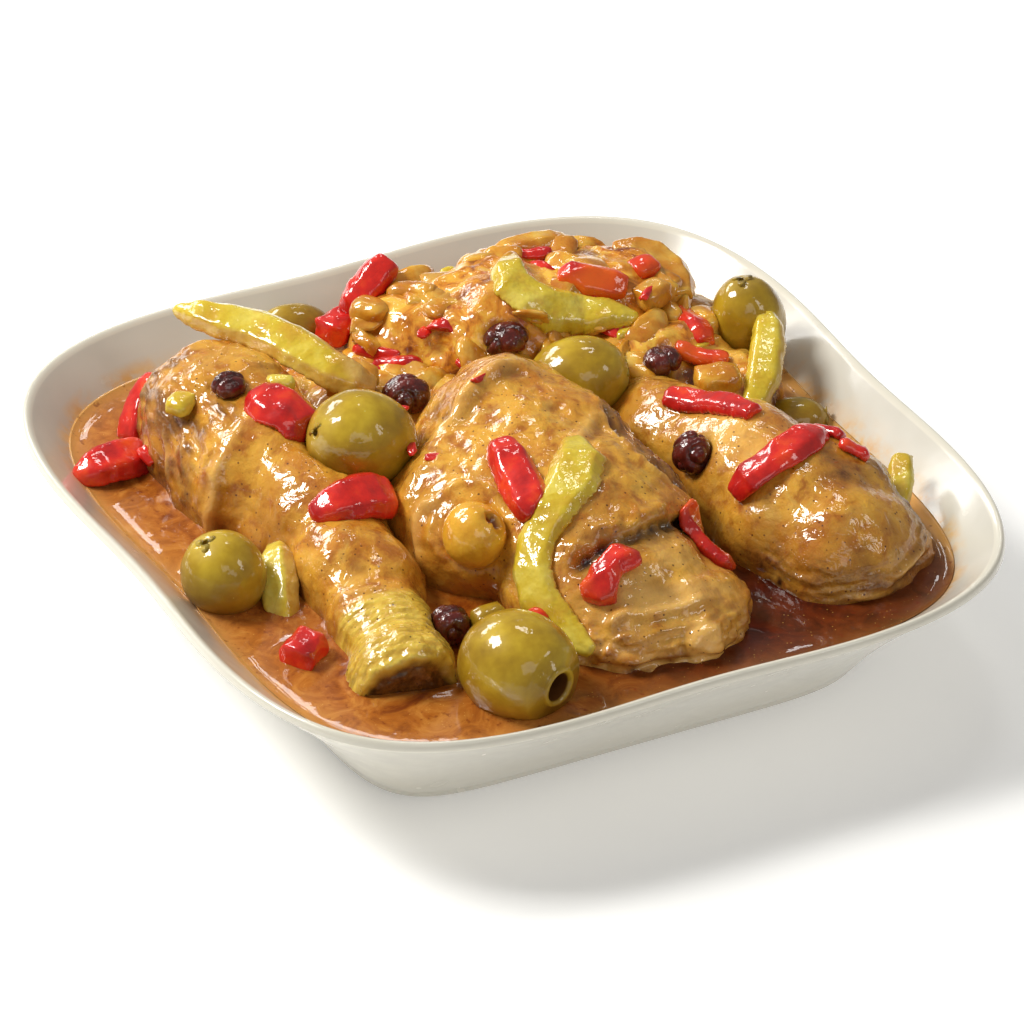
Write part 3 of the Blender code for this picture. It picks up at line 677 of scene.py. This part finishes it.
def sauce_material():
    s = wet("tagine_sauce", 0.08, (1.0, 0.4, 0.1), roughness=0.3, coat=0.35, film=0.02)
    swirl = s.noise(8, 6, 0.66, 1.2)
    reds = (0.19, 0.034, 0.003), (0.38, 0.105, 0.010), (0.54, 0.21, 0.034)
    amber = s.ramp(swirl, *zip((0.34, 0.5, 0.66), reds))
    brown = s.ramp(swirl, (0.35, (0.045, 0.004, 0.0015)), (0.7, (0.14, 0.016, 0.003)))
    # Darker brown at the front right.
    base = s.zone(amber, "darkest", brown)
    # Paler at the thin edge, and a painted reflection by the right wall.
    base = s.zone(base, "shallow_and_reflection", (0.64, 0.32, 0.09))
    gold = (0.72, 0.42, 0.10)
    base = s.specks(base, gold, 1.1, (0.10, 0.17), s.noise(3, 2, 0.5), (0.50, 0.0), (0.60, 0.5))
    s.colour(s.over(base, (0.16, 0.022, 0.006), s.noise(2.2, 4, 0.6), (0.60, 0.0), (0.68, 0.6)))
    s.bump((s.noise(4, 3, 0.5), 0.1), coat=[(s.noise(16, 2, 0.4, 0.3), 0.12), (s.noise(4, 2, 0.5), 0.015)])
    return s.material


# -------- chicken


def dressed(obj, node, material):
    """Hands a new piece its material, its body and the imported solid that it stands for."""
    if not obj.data.materials:
        obj.data.materials.append(material)
    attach(obj, "root")
    if node:
        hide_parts(node)
    return obj


def lumpy(points, coarse, middle, fine, seed):
    """Uneven swelling at three sizes."""
    uneven = coarse * waves(points, 11, seed) + middle * waves(points, 4.6, seed + 1)
    return uneven + fine * waves(points, 1.9, seed + 2)


def start_meat(node, soften, swell):
    """A piece of chicken with its points and its empty zones for painting."""
    obj = grow_from(node, node + "_skin", 1.3, soften, swell, finer=1)
    points = get_points(obj)
    names = ("brown", "yellow", "light", "dark", "crease")
    return obj, points, SimpleNamespace(**{name: np.zeros(len(points)) for name in names})


def finish_meat(obj, node, heights, zones, side):
    """Raises the surface and paints the zones, with painted shade on what faces sideways."""
    push(obj, heights)
    zones.crease += side * step(0.55 - get_normals(obj)[:, 2], 0.0, 0.7)
    for name, values in vars(zones).items():
        paint(obj, name, values)
    dressed(obj, node, SKIN)


def make_drumstick_left():
    obj, points, zones = start_meat("drumstick_left", 12, 0.45)
    x, y, z = points.T
    uneven = lumpy(points, 0.45, 0.38, 0.16, 11)
    heights = uneven.copy()
    # Painted shade in the hollows.
    zones.crease += step(-uneven, 0.18, 0.7) * 0.6
    # The skin's edge across the meaty end, painted lighter as a painted highlight, with a dip behind it
    # browned both as bare meat and as painted shadow, and the bare meat beyond.
    behind = points + (0.0, -2.6, 0.0)
    heights += 0.9 * near(points, LEFT_EDGE, 1.4) - 1.3 * near(behind, LEFT_EDGE, 1.3)
    zones.light += 0.75 * near(points, LEFT_EDGE, 1.2)
    zones.brown += 0.7 * near(behind, LEFT_EDGE, 1.2)
    bare = step(y + 2.5 * waves(points, 7, 12), 21, 27) * step(-x, 44, 56)
    fibres = waves(points * (1.6, 0.35, 0.9), 1.5, 13)
    heights += 0.45 * bare * fibres
    zones.brown += bare * step(fibres + waves(points, 6, 19), -0.2, 0.9) * 0.85
    # Raised strands, painted lighter as a painted highlight, with painted shade below each.
    for line in LEFT_STRANDS:
        heights += 0.8 * near(points, line, 0.9)
        zones.light += 0.4 * near(points, line, 0.7)
        zones.crease += 0.7 * near(points + (0.8, 0.6, 1.2), line, 1.0)
    heights += ankle_scales(points, zones)
    # The hollow end where the foot was cut away, brown as cut meat and darkened further as painted shade in
    # the hollow.
    end = step(get_normals(obj) @ (-0.2, -0.95, -0.22), 0.45, 0.75) * step(-y, 50, 54)
    heights -= 2.2 * end
    zones.brown += end
    zones.yellow *= 1 - end
    zones.dark += end * (0.35 + 0.6 * waves(points, 2, 16))
    burnt = blob(points, (-62.5, -46, 28), (4.5, 10, 5)) * (0.7 + 0.9 * waves(points, 2.4, 17))
    zones.brown += np.clip(burnt, 0, 1)
    zones.dark += np.clip(burnt - 0.75, 0, 1)
    zones.brown += 0.3 * (1 - step(z, SAUCE_LEVEL + 0.5, SAUCE_LEVEL + 6)) * (1 - zones.yellow)
    finish_meat(obj, "drumstick_left", heights, zones, 0.5)


def ankle_scales(points, zones):
    """The yellow scaly ankle: rings of fine wrinkles with painted shade in their grooves, then pebbles near
    the cut; and the skin's cuff, its folds painted lighter as a painted highlight.
    """
    y = points[:, 1]
    ankle = step(-y + 0.9 * waves(points, 4, 18), 31, 34)
    rings = np.sin((y + 1.3 * waves(points, 5, 14) + 0.25 * points[:, 0]) * tau / 2.1)
    broken = step(waves(points, 3, 9), -0.35, 0.15)
    pebbles = 1 - 2 * ridged(points, 2.2, 15)
    toward_end = step(-y, 44, 54)
    zones.yellow += ankle * (0.8 + 0.2 * rings)
    zones.crease += ankle * 0.5 * step(-rings * broken, 0.2, 1)
    zones.light += 0.55 * near(points, CUFF, 0.9) + 0.4 * near(points, SECOND_CUFF, 0.8)
    folds = 0.8 * near(points, CUFF, 1.2) + 0.6 * near(points, SECOND_CUFF, 1.0)
    return ankle * (0.24 * rings * broken * (1 - 0.6 * toward_end) - 0.3 * pebbles * toward_end) + folds


def make_thigh_centre():
    obj, points, zones = start_meat("thigh_centre", 9, 0.4)
    uneven = lumpy(points, 0.45, 0.42, 0.24, 21)
    # Painted shade in the hollows.
    zones.crease += step(-uneven, 0.2, 0.7) * 0.6
    heights = uneven + skin_folds(points, zones) + crevice(points, zones) + skin_edge(points, zones)
    heights += bare_meat(points, zones) + bone_end(points, zones)
    # A wet ring of sauce stands around the small onion.
    ring_at = np.linalg.norm(points - (-22.5, -23.5, 41.5), axis=1) + 1.2 * waves(points, 5, 25)
    heights += 0.6 * np.exp(-(((ring_at - 8.8) / 0.9) ** 2))
    zones.yellow += 0.4 * blob(points, (12, -30, 48), (9, 12, 6)) * step(waves(points, 6, 28), -0.4, 0.6)
    zones.brown += 0.3 * (1 - step(points[:, 2], SAUCE_LEVEL + 0.5, SAUCE_LEVEL + 5))
    finish_meat(obj, "thigh_centre", heights, zones, 0.2)


def skin_folds(points, zones):
    """Folds of skin that run down from the thigh's top, painted lighter as a painted highlight, each with a
    dip on its right darkened as painted shade.
    """
    heights = 0
    for line, width, rise in SKIN_FOLDS:
        dip = points + np.array((-1.3, 2.2, 0.4)) * width / 1.5
        heights += rise * near(points, line, width) - rise * 0.7 * near(dip, line, width * 0.8)
        zones.light += 0.55 * near(points, line, width)
        zones.crease += 0.6 * near(dip, line, width * 0.8)
    return heights


def crevice(points, zones):
    """The ragged crevice where the skin ends over the bare meat, near black inside as painted shade, with
    brown meat below it.
    """
    inside, over = points + (0, 0.9, 1.0), points + (0, -2.0, -1.6)
    zones.dark += 0.95 * near(inside, CREVICE, 1.35) * cracked(points)
    zones.brown += (0.8 + 0.5 * ragged(points)) * near(points + (0, 1.8, 2.6), CREVICE, 2.8)
    groove = (2.0 + 1.2 * ragged(points)) * near(inside, CREVICE, 1.5)
    return (0.5 + 1.3 * ragged(points)) * near(over, CREVICE, 1.4) - groove


def cracked(points):
    return 1.0 + 0.7 * waves(points, 1.8, 22)


def ragged(points):
    return waves(points, 3.2, 29) + 0.6 * waves(points, 1.7, 30)


def skin_edge(points, zones):
    """The skin's right edge, painted lighter as a painted highlight with a painted shadow beside it, and the
    grainy meat beyond, brown and in part darkened as painted shade.
    """
    outside = points + (-2.1, -1.5, 1.0)
    zones.light += 0.4 * near(points, SKIN_EDGE, 0.8)
    zones.dark += 0.75 * near(outside, SKIN_EDGE, 1.2) * cracked(points)
    x, y = points[:, 0], points[:, 1]
    edge_x = np.interp(-y, [-p[1] for p in SKIN_EDGE], [p[0] for p in SKIN_EDGE])
    beyond = step(x - edge_x, 1.5, 4) * step(-y, -6, -2) * (1 - step(-y, 34, 38))
    grain = waves(points * (1.0, 0.45, 1.3), 1.8, 24)
    zones.brown += beyond * (0.7 + 0.4 * grain)
    zones.dark += beyond * step(-grain, 0.0, 0.8) * 0.8
    lip = 0.9 * (1 + ragged(points)) * near(points, SKIN_EDGE, 1.2)
    return lip - 2.0 * near(outside, SKIN_EDGE, 1.4) + 0.7 * beyond * (grain - 1)


def bare_meat(points, zones):
    """Fibres and torn ledges below the crevice, paler where the meat is torn; each ledge is painted lighter
    on top as a painted highlight and browner beneath as painted shade.
    """
    x, y, z = points.T
    bare = step(-y - 0.35 * (46 - z), 47.5, 51)
    fibres = waves(points * (0.4, 1.0, 1.7), 1.6, 23)
    low, torn = 1 - step(z + 0.1 * x, 33, 37), 1 - step(z + 0.15 * x, 29, 33)
    heights = bare * fibres * (0.2 + 0.6 * low + 0.5 * torn)
    zones.brown += bare * step(fibres, 0.1, 0.9) * (0.12 + 0.3 * low)
    zones.light += bare * (0.2 + 0.45 * torn) * step(-fibres, -0.4, 0.5)
    zones.light += 0.75 * blob(points, (4, -58, 38), (18, 11, 9)) * step(waves(points, 5, 27), -0.7, 0.5)
    under = points + (0, 1.2, 2.6)
    for line in LEDGES:
        heights += 1.2 * near(points, line, 1.2) - 1.6 * near(under, line, 1.3)
        zones.brown += 0.8 * near(under, line, 1.3)
        zones.light += 0.35 * near(points, line, 0.9)
    return heights


def bone_end(points, zones):
    """The cream knob of gristle at the bone's end, with a groove on its left."""
    away = np.linalg.norm((points - KNOB) / (4.2, 4, 4.6), axis=1)
    knob = np.clip(1.4 - away, 0, 1)
    zones.light += 0.75 * step(knob + 0.2 * waves(points, 3, 26), 0.2, 0.7)
    return 1.1 * knob - 1.0 * near(points, KNOB_GROOVE, 1.0)


def make_drumstick_right():
    obj, points, zones = start_meat("drumstick_right", 12, 0.45)
    y, z = points[:, 1], points[:, 2]
    uneven = lumpy(points, 0.4, 0.25, 0.11, 31)
    heights = uneven.copy()
    # Painted shade in the hollows.
    zones.crease += step(-uneven, 0.15, 0.6) * 0.5
    # Bare, stringy meat low down on the plump end and at its side.
    low = (1 - step(z + 3 * waves(points, 8, 32), 31, 38)) * step(-y, 40, 50)
    fibres = waves(points * (0.45, 0.5, 1.7), 1.5, 33)
    heights += 0.5 * low * fibres
    zones.brown += low * (0.5 + 0.5 * fibres)
    stringy = blob(points, (71, -44, 35), (8, 15, 9)) * step(fibres + waves(points, 6, 38), -0.3, 0.8)
    zones.dark += 0.4 * stringy
    heights += 0.35 * stringy * fibres
    # Raised strands, painted lighter as a painted highlight, with brown painted shade under each.
    for line in RIGHT_STRANDS:
        heights += 1.1 * near(points, line, 1.1)
        zones.light += 0.55 * near(points, line, 0.9)
        under = points + (-0.3, 0.8, 2.0)
        heights -= 0.8 * near(under, line, 1.2)
        zones.brown += 0.8 * near(under, line, 1.2)
    # Brown patches, a pale one on top of the thin end that is a painted highlight, and a black speck of
    # pepper low at the front.
    zones.brown += 0.9 * blob(points, (57, -45, 45), (9, 7, 5)) * (0.8 + 0.6 * waves(points, 3, 34))
    zones.brown += 0.8 * blob(points, (70, -42, 37), (7, 14, 10)) * (0.85 + 0.5 * waves(points, 4, 35))
    zones.brown += 0.35 * blob(points, (36, -46, 32), (6, 14, 9))
    zones.light += 0.6 * blob(points, (42, -20, 46), (8, 14, 6))
    zones.dark += 1.5 * blob(points, (36.4, -53.8, 27.5), (0.9, 0.9, 1.1))
    # Painted shade on the underside.
    underside = 1 - step(z + 3 * waves(points, 9, 36), 30, 42)
    zones.crease += 0.2 * underside * (0.8 + 0.4 * waves(points, 4, 37))
    heights += 0.8 * near(points, RIGHT_FOLD, 1.4)
    finish_meat(obj, "drumstick_right", heights, zones, 0.2)


def make_stewed(obj, node, coarse, ridges, pale, seed):
    """Stew under a thick glaze: ridges have a depth and size, and pale has a size, share and start."""
    points = get_points(obj)
    depth, size = ridges
    heights = lumpy(points, coarse, 0.85, 0.2, seed) + depth * (0.5 - ridged(points, size, seed + 3))
    push(obj, heights)
    size, share, start = pale
    paint(obj, "pale", step(waves(points, size, seed + 1) + share * heights, start, start + 0.7))
    # Painted shade in the hollows of the stew.
    paint(obj, "crease", step(-heights, 0.2, start + 1.0))
    dressed(obj, node, STEWED)


def stewed_material():
    """Glazed stew at the back: orange-brown sauce over onion and chicken."""
    s = wet("stewed_glaze", 0.10, (1.0, 0.45, 0.15))
    swirl = s.noise(6.5, 6, 0.62, 0.9)
    browns = (0.21, 0.040, 0.004), (0.66, 0.24, 0.018), (0.88, 0.50, 0.060)
    base = s.ramp(swirl, *zip((0.34, 0.48, 0.62), browns))
    pale = s.ramp(swirl, (0.3, (0.60, 0.23, 0.018)), (0.7, (0.84, 0.51, 0.085)))
    base = s.zone(base, "pale", pale)
    base = s.over(base, (0.50, 0.045, 0.006), s.noise(3.4, 3, 0.5), (0.64, 0.0), (0.69, 0.5))
    # Painted shade in the hollows.
    s.colour(s.zone(base, "crease", (0.13, 0.022, 0.003)))
    s.bump((s.noise(2.4, 4, 0.6), 0.25), coat=[(s.noise(5.0, 3, 0.5, 1.2), 0.7)])
    return s.material


# -------- toppings


def olive_profile(long_radius, short_radius, hole):
    """Rings of an olive as (place on its axis, radius), into its stem's dimple or its stoned hole."""
    rings = []
    for k in range(OLIVE_RINGS):
        turn = pi * (0.02 + 0.96 * k / (OLIVE_RINGS - 1))
        rings.append((-cos(turn) * long_radius, sin(turn) ** 0.94 * short_radius))
    if not hole:
        tip = long_radius * 0.985
        return rings + [(tip, 1.5), (tip - 0.5, 1.0), (tip - 1.3, 0.75), (tip - 1.9, 0.4)]
    top = long_radius * 0.86
    rings = [line for line in rings if line[0] < top - 1.4]
    for k in range(7):
        turn = pi * k / 6
        rings.append((top - 0.9 + 0.9 * sin(turn), hole + 0.75 + 0.75 * cos(turn)))
    return rings + [(top - 0.9 - depth, hole * (0.97 - 0.01 * depth)) for depth in (1, 3, 6, 9)]


def make_olive(node, long_radius, short_radius, direction, hole):
    """An olive turned about its long axis, slightly uneven, with a stem's star or a stoned hole."""
    low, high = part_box(node)
    centre = (low + high) / 2 / MM
    turn_to = Vector((0, 0, 1)).rotation_difference(Vector(direction)).to_matrix()
    bm = bmesh.new()
    loops = []
    for number, (here, size) in enumerate(olive_profile(long_radius, short_radius, hole)):
        star = number >= OLIVE_RINGS and not hole
        loop = []
        for i in range(OLIVE_AROUND):
            a = tau * i / OLIVE_AROUND
            radius = size * (1.2 + 0.5 * cos(3 * a)) if star else size
            place = turn_to @ Vector((radius * cos(a), radius * sin(a), here)) + centre
            loop.append(bm.verts.new(place * MM))
        loops.append(loop)
    bridge(bm, *loops)
    bm.faces.new(list(reversed(loops[0])))
    bm.faces.new(loops[-1])
    bmesh.ops.recalc_face_normals(bm, faces=bm.faces)
    obj = new_object(node + "_skin", bm)
    points = get_points(obj)
    seed = 60 + len(node)
    push(obj, 0.28 * waves(points, 9, seed) + 0.07 * waves(points, 3, seed + 1))
    axis = (points - np.array(centre)) @ np.array(Vector(direction).normalized())
    inside = np.zeros(len(points))
    if hole:
        inside[-OLIVE_AROUND * 5 :] = 1
    # The inside of the stoned hole, painted near black as painted shade.
    paint(obj, "hole", inside)
    paint(obj, "stem", step(axis, long_radius * 0.82, long_radius * 0.99))
    return obj


def ball_in(node, fineness):
    """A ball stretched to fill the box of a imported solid."""
    low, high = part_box(node)
    centre, half = (low + high) / 2, (high - low) / 2
    bm = bmesh.new()
    bmesh.ops.create_icosphere(bm, subdivisions=fineness, radius=1)
    for vertex in bm.verts:
        vertex.co = centre + Vector(d * h for d, h in zip(vertex.co.normalized(), half))
    return new_object(node + "_skin", bm), np.array(centre) / MM


def make_pearl():
    """The small whole onion, with a slit in its upper right, painted brown, partly as painted shade in the
    slit.
    """
    obj, middle = ball_in("onion_pearl", 6)
    points = get_points(obj)
    ways = ((0.1, -0.5, 0.86), (0.4, -0.5, 0.76), (0.42, -0.75, 0.5))
    slit = [middle + 7 * np.array(Vector(way).normalized()) for way in ways]
    sunk = near(points, slit, 1.3)
    push(obj, 0.3 * waves(points, 5, 91) - 1.9 * sunk + 0.5 * near(points, slit, 2.6))
    # The slit is painted brown, partly as painted shade.
    paint(obj, "hole", sunk * 1.2)
    paint(obj, "stem", np.full(len(points), 0.9))
    return obj


def make_raisin(node):
    """A wrinkled raisin."""
    obj = ball_in(node, 5)[0]
    points = get_points(obj)
    seed = 80 + len(node)
    creases = 1 - ridged(points * (1.0, 1.5, 0.8), 4.6, seed)
    push(obj, -1.1 * creases**3 - 0.15 * (1 - ridged(points, 1.9, seed + 1)) ** 3 + 0.3)
    return obj


def olive_material():
    s = wet("green_olive", 0.08, (0.8, 0.6, 0.15), roughness=0.38, coat=0.8, film=0.06)
    greens = (0.27, 0.15, 0.008), (0.44, 0.275, 0.014), (0.62, 0.43, 0.030)
    base = s.ramp(s.noise(11, 4, 0.55), *zip((0.32, 0.5, 0.68), greens))
    # Painted shade: browner and darker toward the bottom.
    base = s.over(base, (0.19, 0.085, 0.006), s.height(26, 46), (0.0, 0.65), (0.8, 0.0))
    base = s.mix(s.times(s.painted("stem"), 0.3), base, (0.56, 0.40, 0.08))
    base = s.specks(base, (0.60, 0.55, 0.12), 2.4, (0.05, 0.10), s.noise(3), (0.54, 0.0), (0.6, 0.7))
    # Painted shade inside the stoned hole.
    s.colour(s.zone(base, "hole", (0.10, 0.035, 0.008)))
    s.bump((s.noise(3.0, 3, 0.5), 0.12), coat=[(s.noise(5, 3, 0.5), 0.45)])
    return s.material


def raisin_material():
    s = wet("raisin_skin", 0.05, (1.0, 0.3, 0.2), roughness=0.35, film=0.05)
    s.colour(s.ramp(s.noise(3, 4, 0.6), (0.35, (0.036, 0.005, 0.004)), (0.7, (0.17, 0.018, 0.012))))
    s.bump((s.noise(1.2, 3, 0.6), 0.25), coat=[(s.noise(2.2, 3, 0.5), 0.5)])
    return s.material


def make_strip(node, seed):
    """Peel, pepper or onion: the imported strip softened, with blunt ends and an uneven surface."""
    obj = grow_from(node, node + "_fine", voxel=0.5, soften=2, swell=0.3)
    ends = 0.4 if node.startswith("pepper") else 0.2
    set_points(obj, blunted(get_points(obj), ends, WIDER.get(node, 1.0)))
    points = get_points(obj)
    push(obj, lumpy(points, 0.3, 0.24, 0.1, seed))
    pith = np.zeros(len(points))
    if node in PITH_SIDES:
        facing = get_normals(obj) @ np.array(Vector(PITH_SIDES[node]).normalized())
        pith = 0.8 * step(facing + 0.2 * waves(points, 4, seed), 0.5, 0.85)
    if node in ORANGE:
        pith = step(waves(points, 6, seed), -0.6, 0.6) * 0.9
    if node == "lemon_left":
        pith = np.maximum(pith, step(points[:, 0], points[:, 0].max() - 9, points[:, 0].max() - 6))
    paint(obj, "pith", pith)
    return obj


def lump(bm, centre, radii, turn, seed, bend=0.0):
    """Adds one small uneven lump to a mesh, its ends bent down."""
    made = bmesh.ops.create_icosphere(bm, subdivisions=3, radius=1)["verts"]
    spin = Matrix.Rotation(turn, 3, "Z") @ Matrix.Rotation(0.6 * sin(seed), 3, "X")
    away = np.array([vertex.co.normalized() for vertex in made])
    swell = 1 + 0.5 * waves(away * 3, 2.4, seed)
    for vertex, direction, size in zip(made, away, swell):
        local = np.sign(direction) * np.abs(direction) ** 0.65 * np.array(radii) * size
        local[2] -= bend * local[0] ** 2
        vertex.co = (spin @ Vector(local) + Vector(centre)) * MM


def make_bits(name, count, region, size, seed, ground, material):
    """Small stewed bits strewn over one area, half sunk in what lies below."""
    random = np.random.default_rng(seed)
    (cx, cy), (rx, ry) = region
    bm = bmesh.new()
    for number in range(count):
        angle, far = random.uniform(0, tau), sqrt(random.uniform(0, 1))
        above = Vector((cx + rx * far * cos(angle), cy + ry * far * sin(angle), 80)) * MM
        found = ground.ray_cast(above, Vector((0, 0, -1)))[0]
        radii = size * random.uniform(0.7, 1.4, 3) * np.array([1.7, 1.1, 0.5])
        if found and found.z > SAUCE_LEVEL * MM:
            lump(bm, found / MM, radii, random.uniform(0, pi), seed + number, 0.12 / size)
    dressed(new_object(name, bm), None, material)


def make_flakes(material):
    """Thin red slivers that lie on the skin."""
    bm = bmesh.new()
    for number, (centre, radii, turn) in enumerate(FLAKES):
        lump(bm, centre, radii, radians(turn), 300 + number)
    dressed(new_object("pepper_flakes", bm), None, material)


def lemon_material():
    s = wet("lemon_peel", 0.15, (1.0, 0.85, 0.3))
    yellows = (0.57, 0.34, 0.018), (0.66, 0.48, 0.030), (0.76, 0.62, 0.10)
    base = s.ramp(s.noise(9, 4, 0.55, 0.5), *zip((0.32, 0.5, 0.68), yellows))
    pith = s.ramp(s.noise(3, 4, 0.6), (0.35, (0.58, 0.30, 0.045)), (0.65, (0.72, 0.48, 0.13)))
    base = s.zone(base, "pith", pith)
    s.colour(s.over(base, (0.58, 0.26, 0.03), s.noise(6, 3, 0.6), (0.55, 0.0), (0.68, 0.4)))
    s.bump((s.cells(1.1), 0.08), (s.noise(3, 3, 0.5), 0.2), coat=[(s.noise(4, 3, 0.55), 0.6)])
    return s.material


def pepper_material():
    s = wet("red_pepper", 0.08, (1.0, 0.15, 0.05))
    reds = (0.42, 0.008, 0.009), (0.70, 0.020, 0.012), (0.84, 0.08, 0.012)
    base = s.ramp(s.noise(6, 4, 0.55), *zip((0.32, 0.55, 0.75), reds))
    s.colour(s.zone(base, "pith", (0.80, 0.13, 0.008)))
    s.bump((s.noise(2.2, 3, 0.5), 0.15), coat=[(s.noise(3.5, 3, 0.5), 0.3)])
    return s.material


def onion_material():
    s = wet("stewed_onion", 0.15, (1.0, 0.6, 0.2))
    cloud = s.noise(5, 4, 0.55, 0.4)
    base = s.ramp(cloud, (0.3, (0.54, 0.18, 0.010)), (0.5, (0.72, 0.35, 0.028)), (0.7, (0.80, 0.53, 0.10)))
    base = s.over(base, (0.40, 0.095, 0.006), s.noise(11, 3, 0.5), (0.42, 0.45), (0.56, 0.0))
    fresh = s.times(s.painted("stem"), s.ramp(cloud, (0.3, 0.4), (0.6, 1.0)))
    base = s.mix(fresh, base, (0.80, 0.42, 0.03))
    # The pearl's slit: brown, partly as painted shade.
    s.colour(s.zone(base, "hole", (0.20, 0.05, 0.006)))
    s.bump((s.noise(2.4, 3, 0.5), 0.3), coat=[(s.noise(3.4, 3, 0.5), 0.35)])
    return s.material


def make_toppings():
    olive, raisin, lemon = olive_material(), raisin_material(), lemon_material()
    pepper, onion = pepper_material(), onion_material()
    for node, spec in OLIVES.items():
        dressed(make_olive(node, *spec), node, olive)
    dressed(make_pearl(), "onion_pearl", onion)
    looks = {
        "lemon": (lemon, "lemon_peel"), "pepper": (pepper, "red_pepper"), "onion": (onion, "onion"),
        "olive": (olive, "olive"),
    }
    for seed, node in enumerate(sorted(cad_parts)):
        kind = node.split("_")[0]
        if node.startswith("raisin"):
            dressed(make_raisin(node), node, raisin)
        elif kind in looks and node not in OLIVES and node not in ("onion_bed", "onion_pearl"):
            material, slot = looks[kind]
            dressed(make_strip(node, 100 + seed), node, material)
    make_flakes(pepper)
    stew = packed_surface("thigh_back", "onion_bed")
    make_bits("onion_bits_back", 70, ((28, 42), (42, 30)), 2.9, 7, stew, onion)
    make_bits("pepper_bits_back", 22, ((28, 40), (42, 30)), 1.6, 8, stew, pepper)
    make_bits("lemon_bits_back", 10, ((30, 40), (40, 28)), 1.4, 9, stew, lemon)


# -------- stage


def add_area(name, place, aim, size, power, colour):
    lamp = bpy.data.lights.new(name, "AREA")
    lamp.shape = "RECTANGLE"
    lamp.size, lamp.size_y = size
    lamp.energy = power
    lamp.color = colour
    obj = placed(name, lamp)
    obj.location = place
    obj.rotation_euler = (Vector(aim) - Vector(place)).to_track_quat("-Z", "Y").to_euler()


def make_stage():
    bm = bmesh.new()
    bmesh.ops.create_grid(bm, x_segments=1, y_segments=1, size=4.0)
    floor = new_object("floor", bm)
    floor.location.z = -0.0002
    white = (1, 1, 1, 1)
    s = Shader(
        "pale_floor", Roughness=0.9, Specular_IOR_Level=0.0, Emission_Color=white, Emission_Strength=0.19
    )
    s.colour(s.ramp(s.noise(900, 2, 0.5), (0.3, (0.93, 0.93, 0.93)), (0.7, (0.94, 0.94, 0.94))))
    floor.data.materials.append(s.material)
    world = bpy.data.worlds.new("studio")
    world.use_nodes = True
    sky = world.node_tree.nodes["Background"].inputs
    sky["Color"].default_value = (1.0, 0.98, 0.94, 1)
    sky["Strength"].default_value = 0.21
    SCENE.world = world
    for name, (place, size, power, colour) in LAMPS.items():
        add_area(name, place, AIM, size, power, colour)
    for number, (spot, size) in enumerate(GLINTS):
        spot = Vector(spot) * MM
        place = spot + Vector(GLINT_WAY) * GLINT_DISTANCE
        add_area(f"glint_{number}", place, spot, size, GLINT_POWER * size[0] * size[1], (1, 1, 1))


def make_camera():
    """A view from the front left, 33 degrees above the horizon, through a long lens."""
    azimuth, elevation, roll = radians(-29.53), radians(33.10), radians(2.02)
    level = cos(elevation)
    back = Vector((sin(azimuth) * level, -cos(azimuth) * level, sin(elevation)))
    right = Vector((cos(azimuth), sin(azimuth), 0))
    up = back.cross(right)
    across = cos(roll) * right + sin(roll) * up
    upward = -sin(roll) * right + cos(roll) * up
    camera = bpy.data.cameras.new("camera")
    camera.sensor_width = 36
    camera.lens = 352.0
    camera.clip_end = 20
    obj = placed("camera", camera)
    obj.matrix_world = Matrix((across, upward, back)).transposed().to_4x4()
    obj.location = (-0.88952, -1.57186, 1.20152)
    SCENE.camera = obj


# -------- the whole

make_camera()
make_stage()

SKIN = skin_material("braised_skin", (0.76, 0.385, 0.040), (0.61, 0.235, 0.016), (0.36, 0.090, 0.007))
STEWED = stewed_material()
dressed(make_dish(), "dish", None)
make_drumstick_left()
make_thigh_centre()
make_drumstick_right()
back = grow_from("thigh_back", "thigh_back_glaze", voxel=1.4, soften=9, swell=0.5, finer=1)
make_stewed(back, "thigh_back", coarse=1.0, ridges=(1.2, 7.5), pale=(9, 0.6, 0.3), seed=41)
bed = grow_from("onion_bed", "onion_bed_glaze", voxel=1.3, soften=6, swell=0.6, finer=1)
make_stewed(bed, "onion_bed", coarse=0.9, ridges=(0.9, 6.5), pale=(8, 0.5, 0.2), seed=51)
make_toppings()

shores = packed_surface(
    "drumstick_left", "drumstick_right", "thigh_centre", "thigh_back", "onion_bed", "olive_front",
    "olive_left", "lemon_front", "pepper_dice_front",
)
dressed(make_sauce(shores), "sauce", None)

SCENE.view_settings.view_transform = "Standard"
SCENE.view_settings.look = "None"
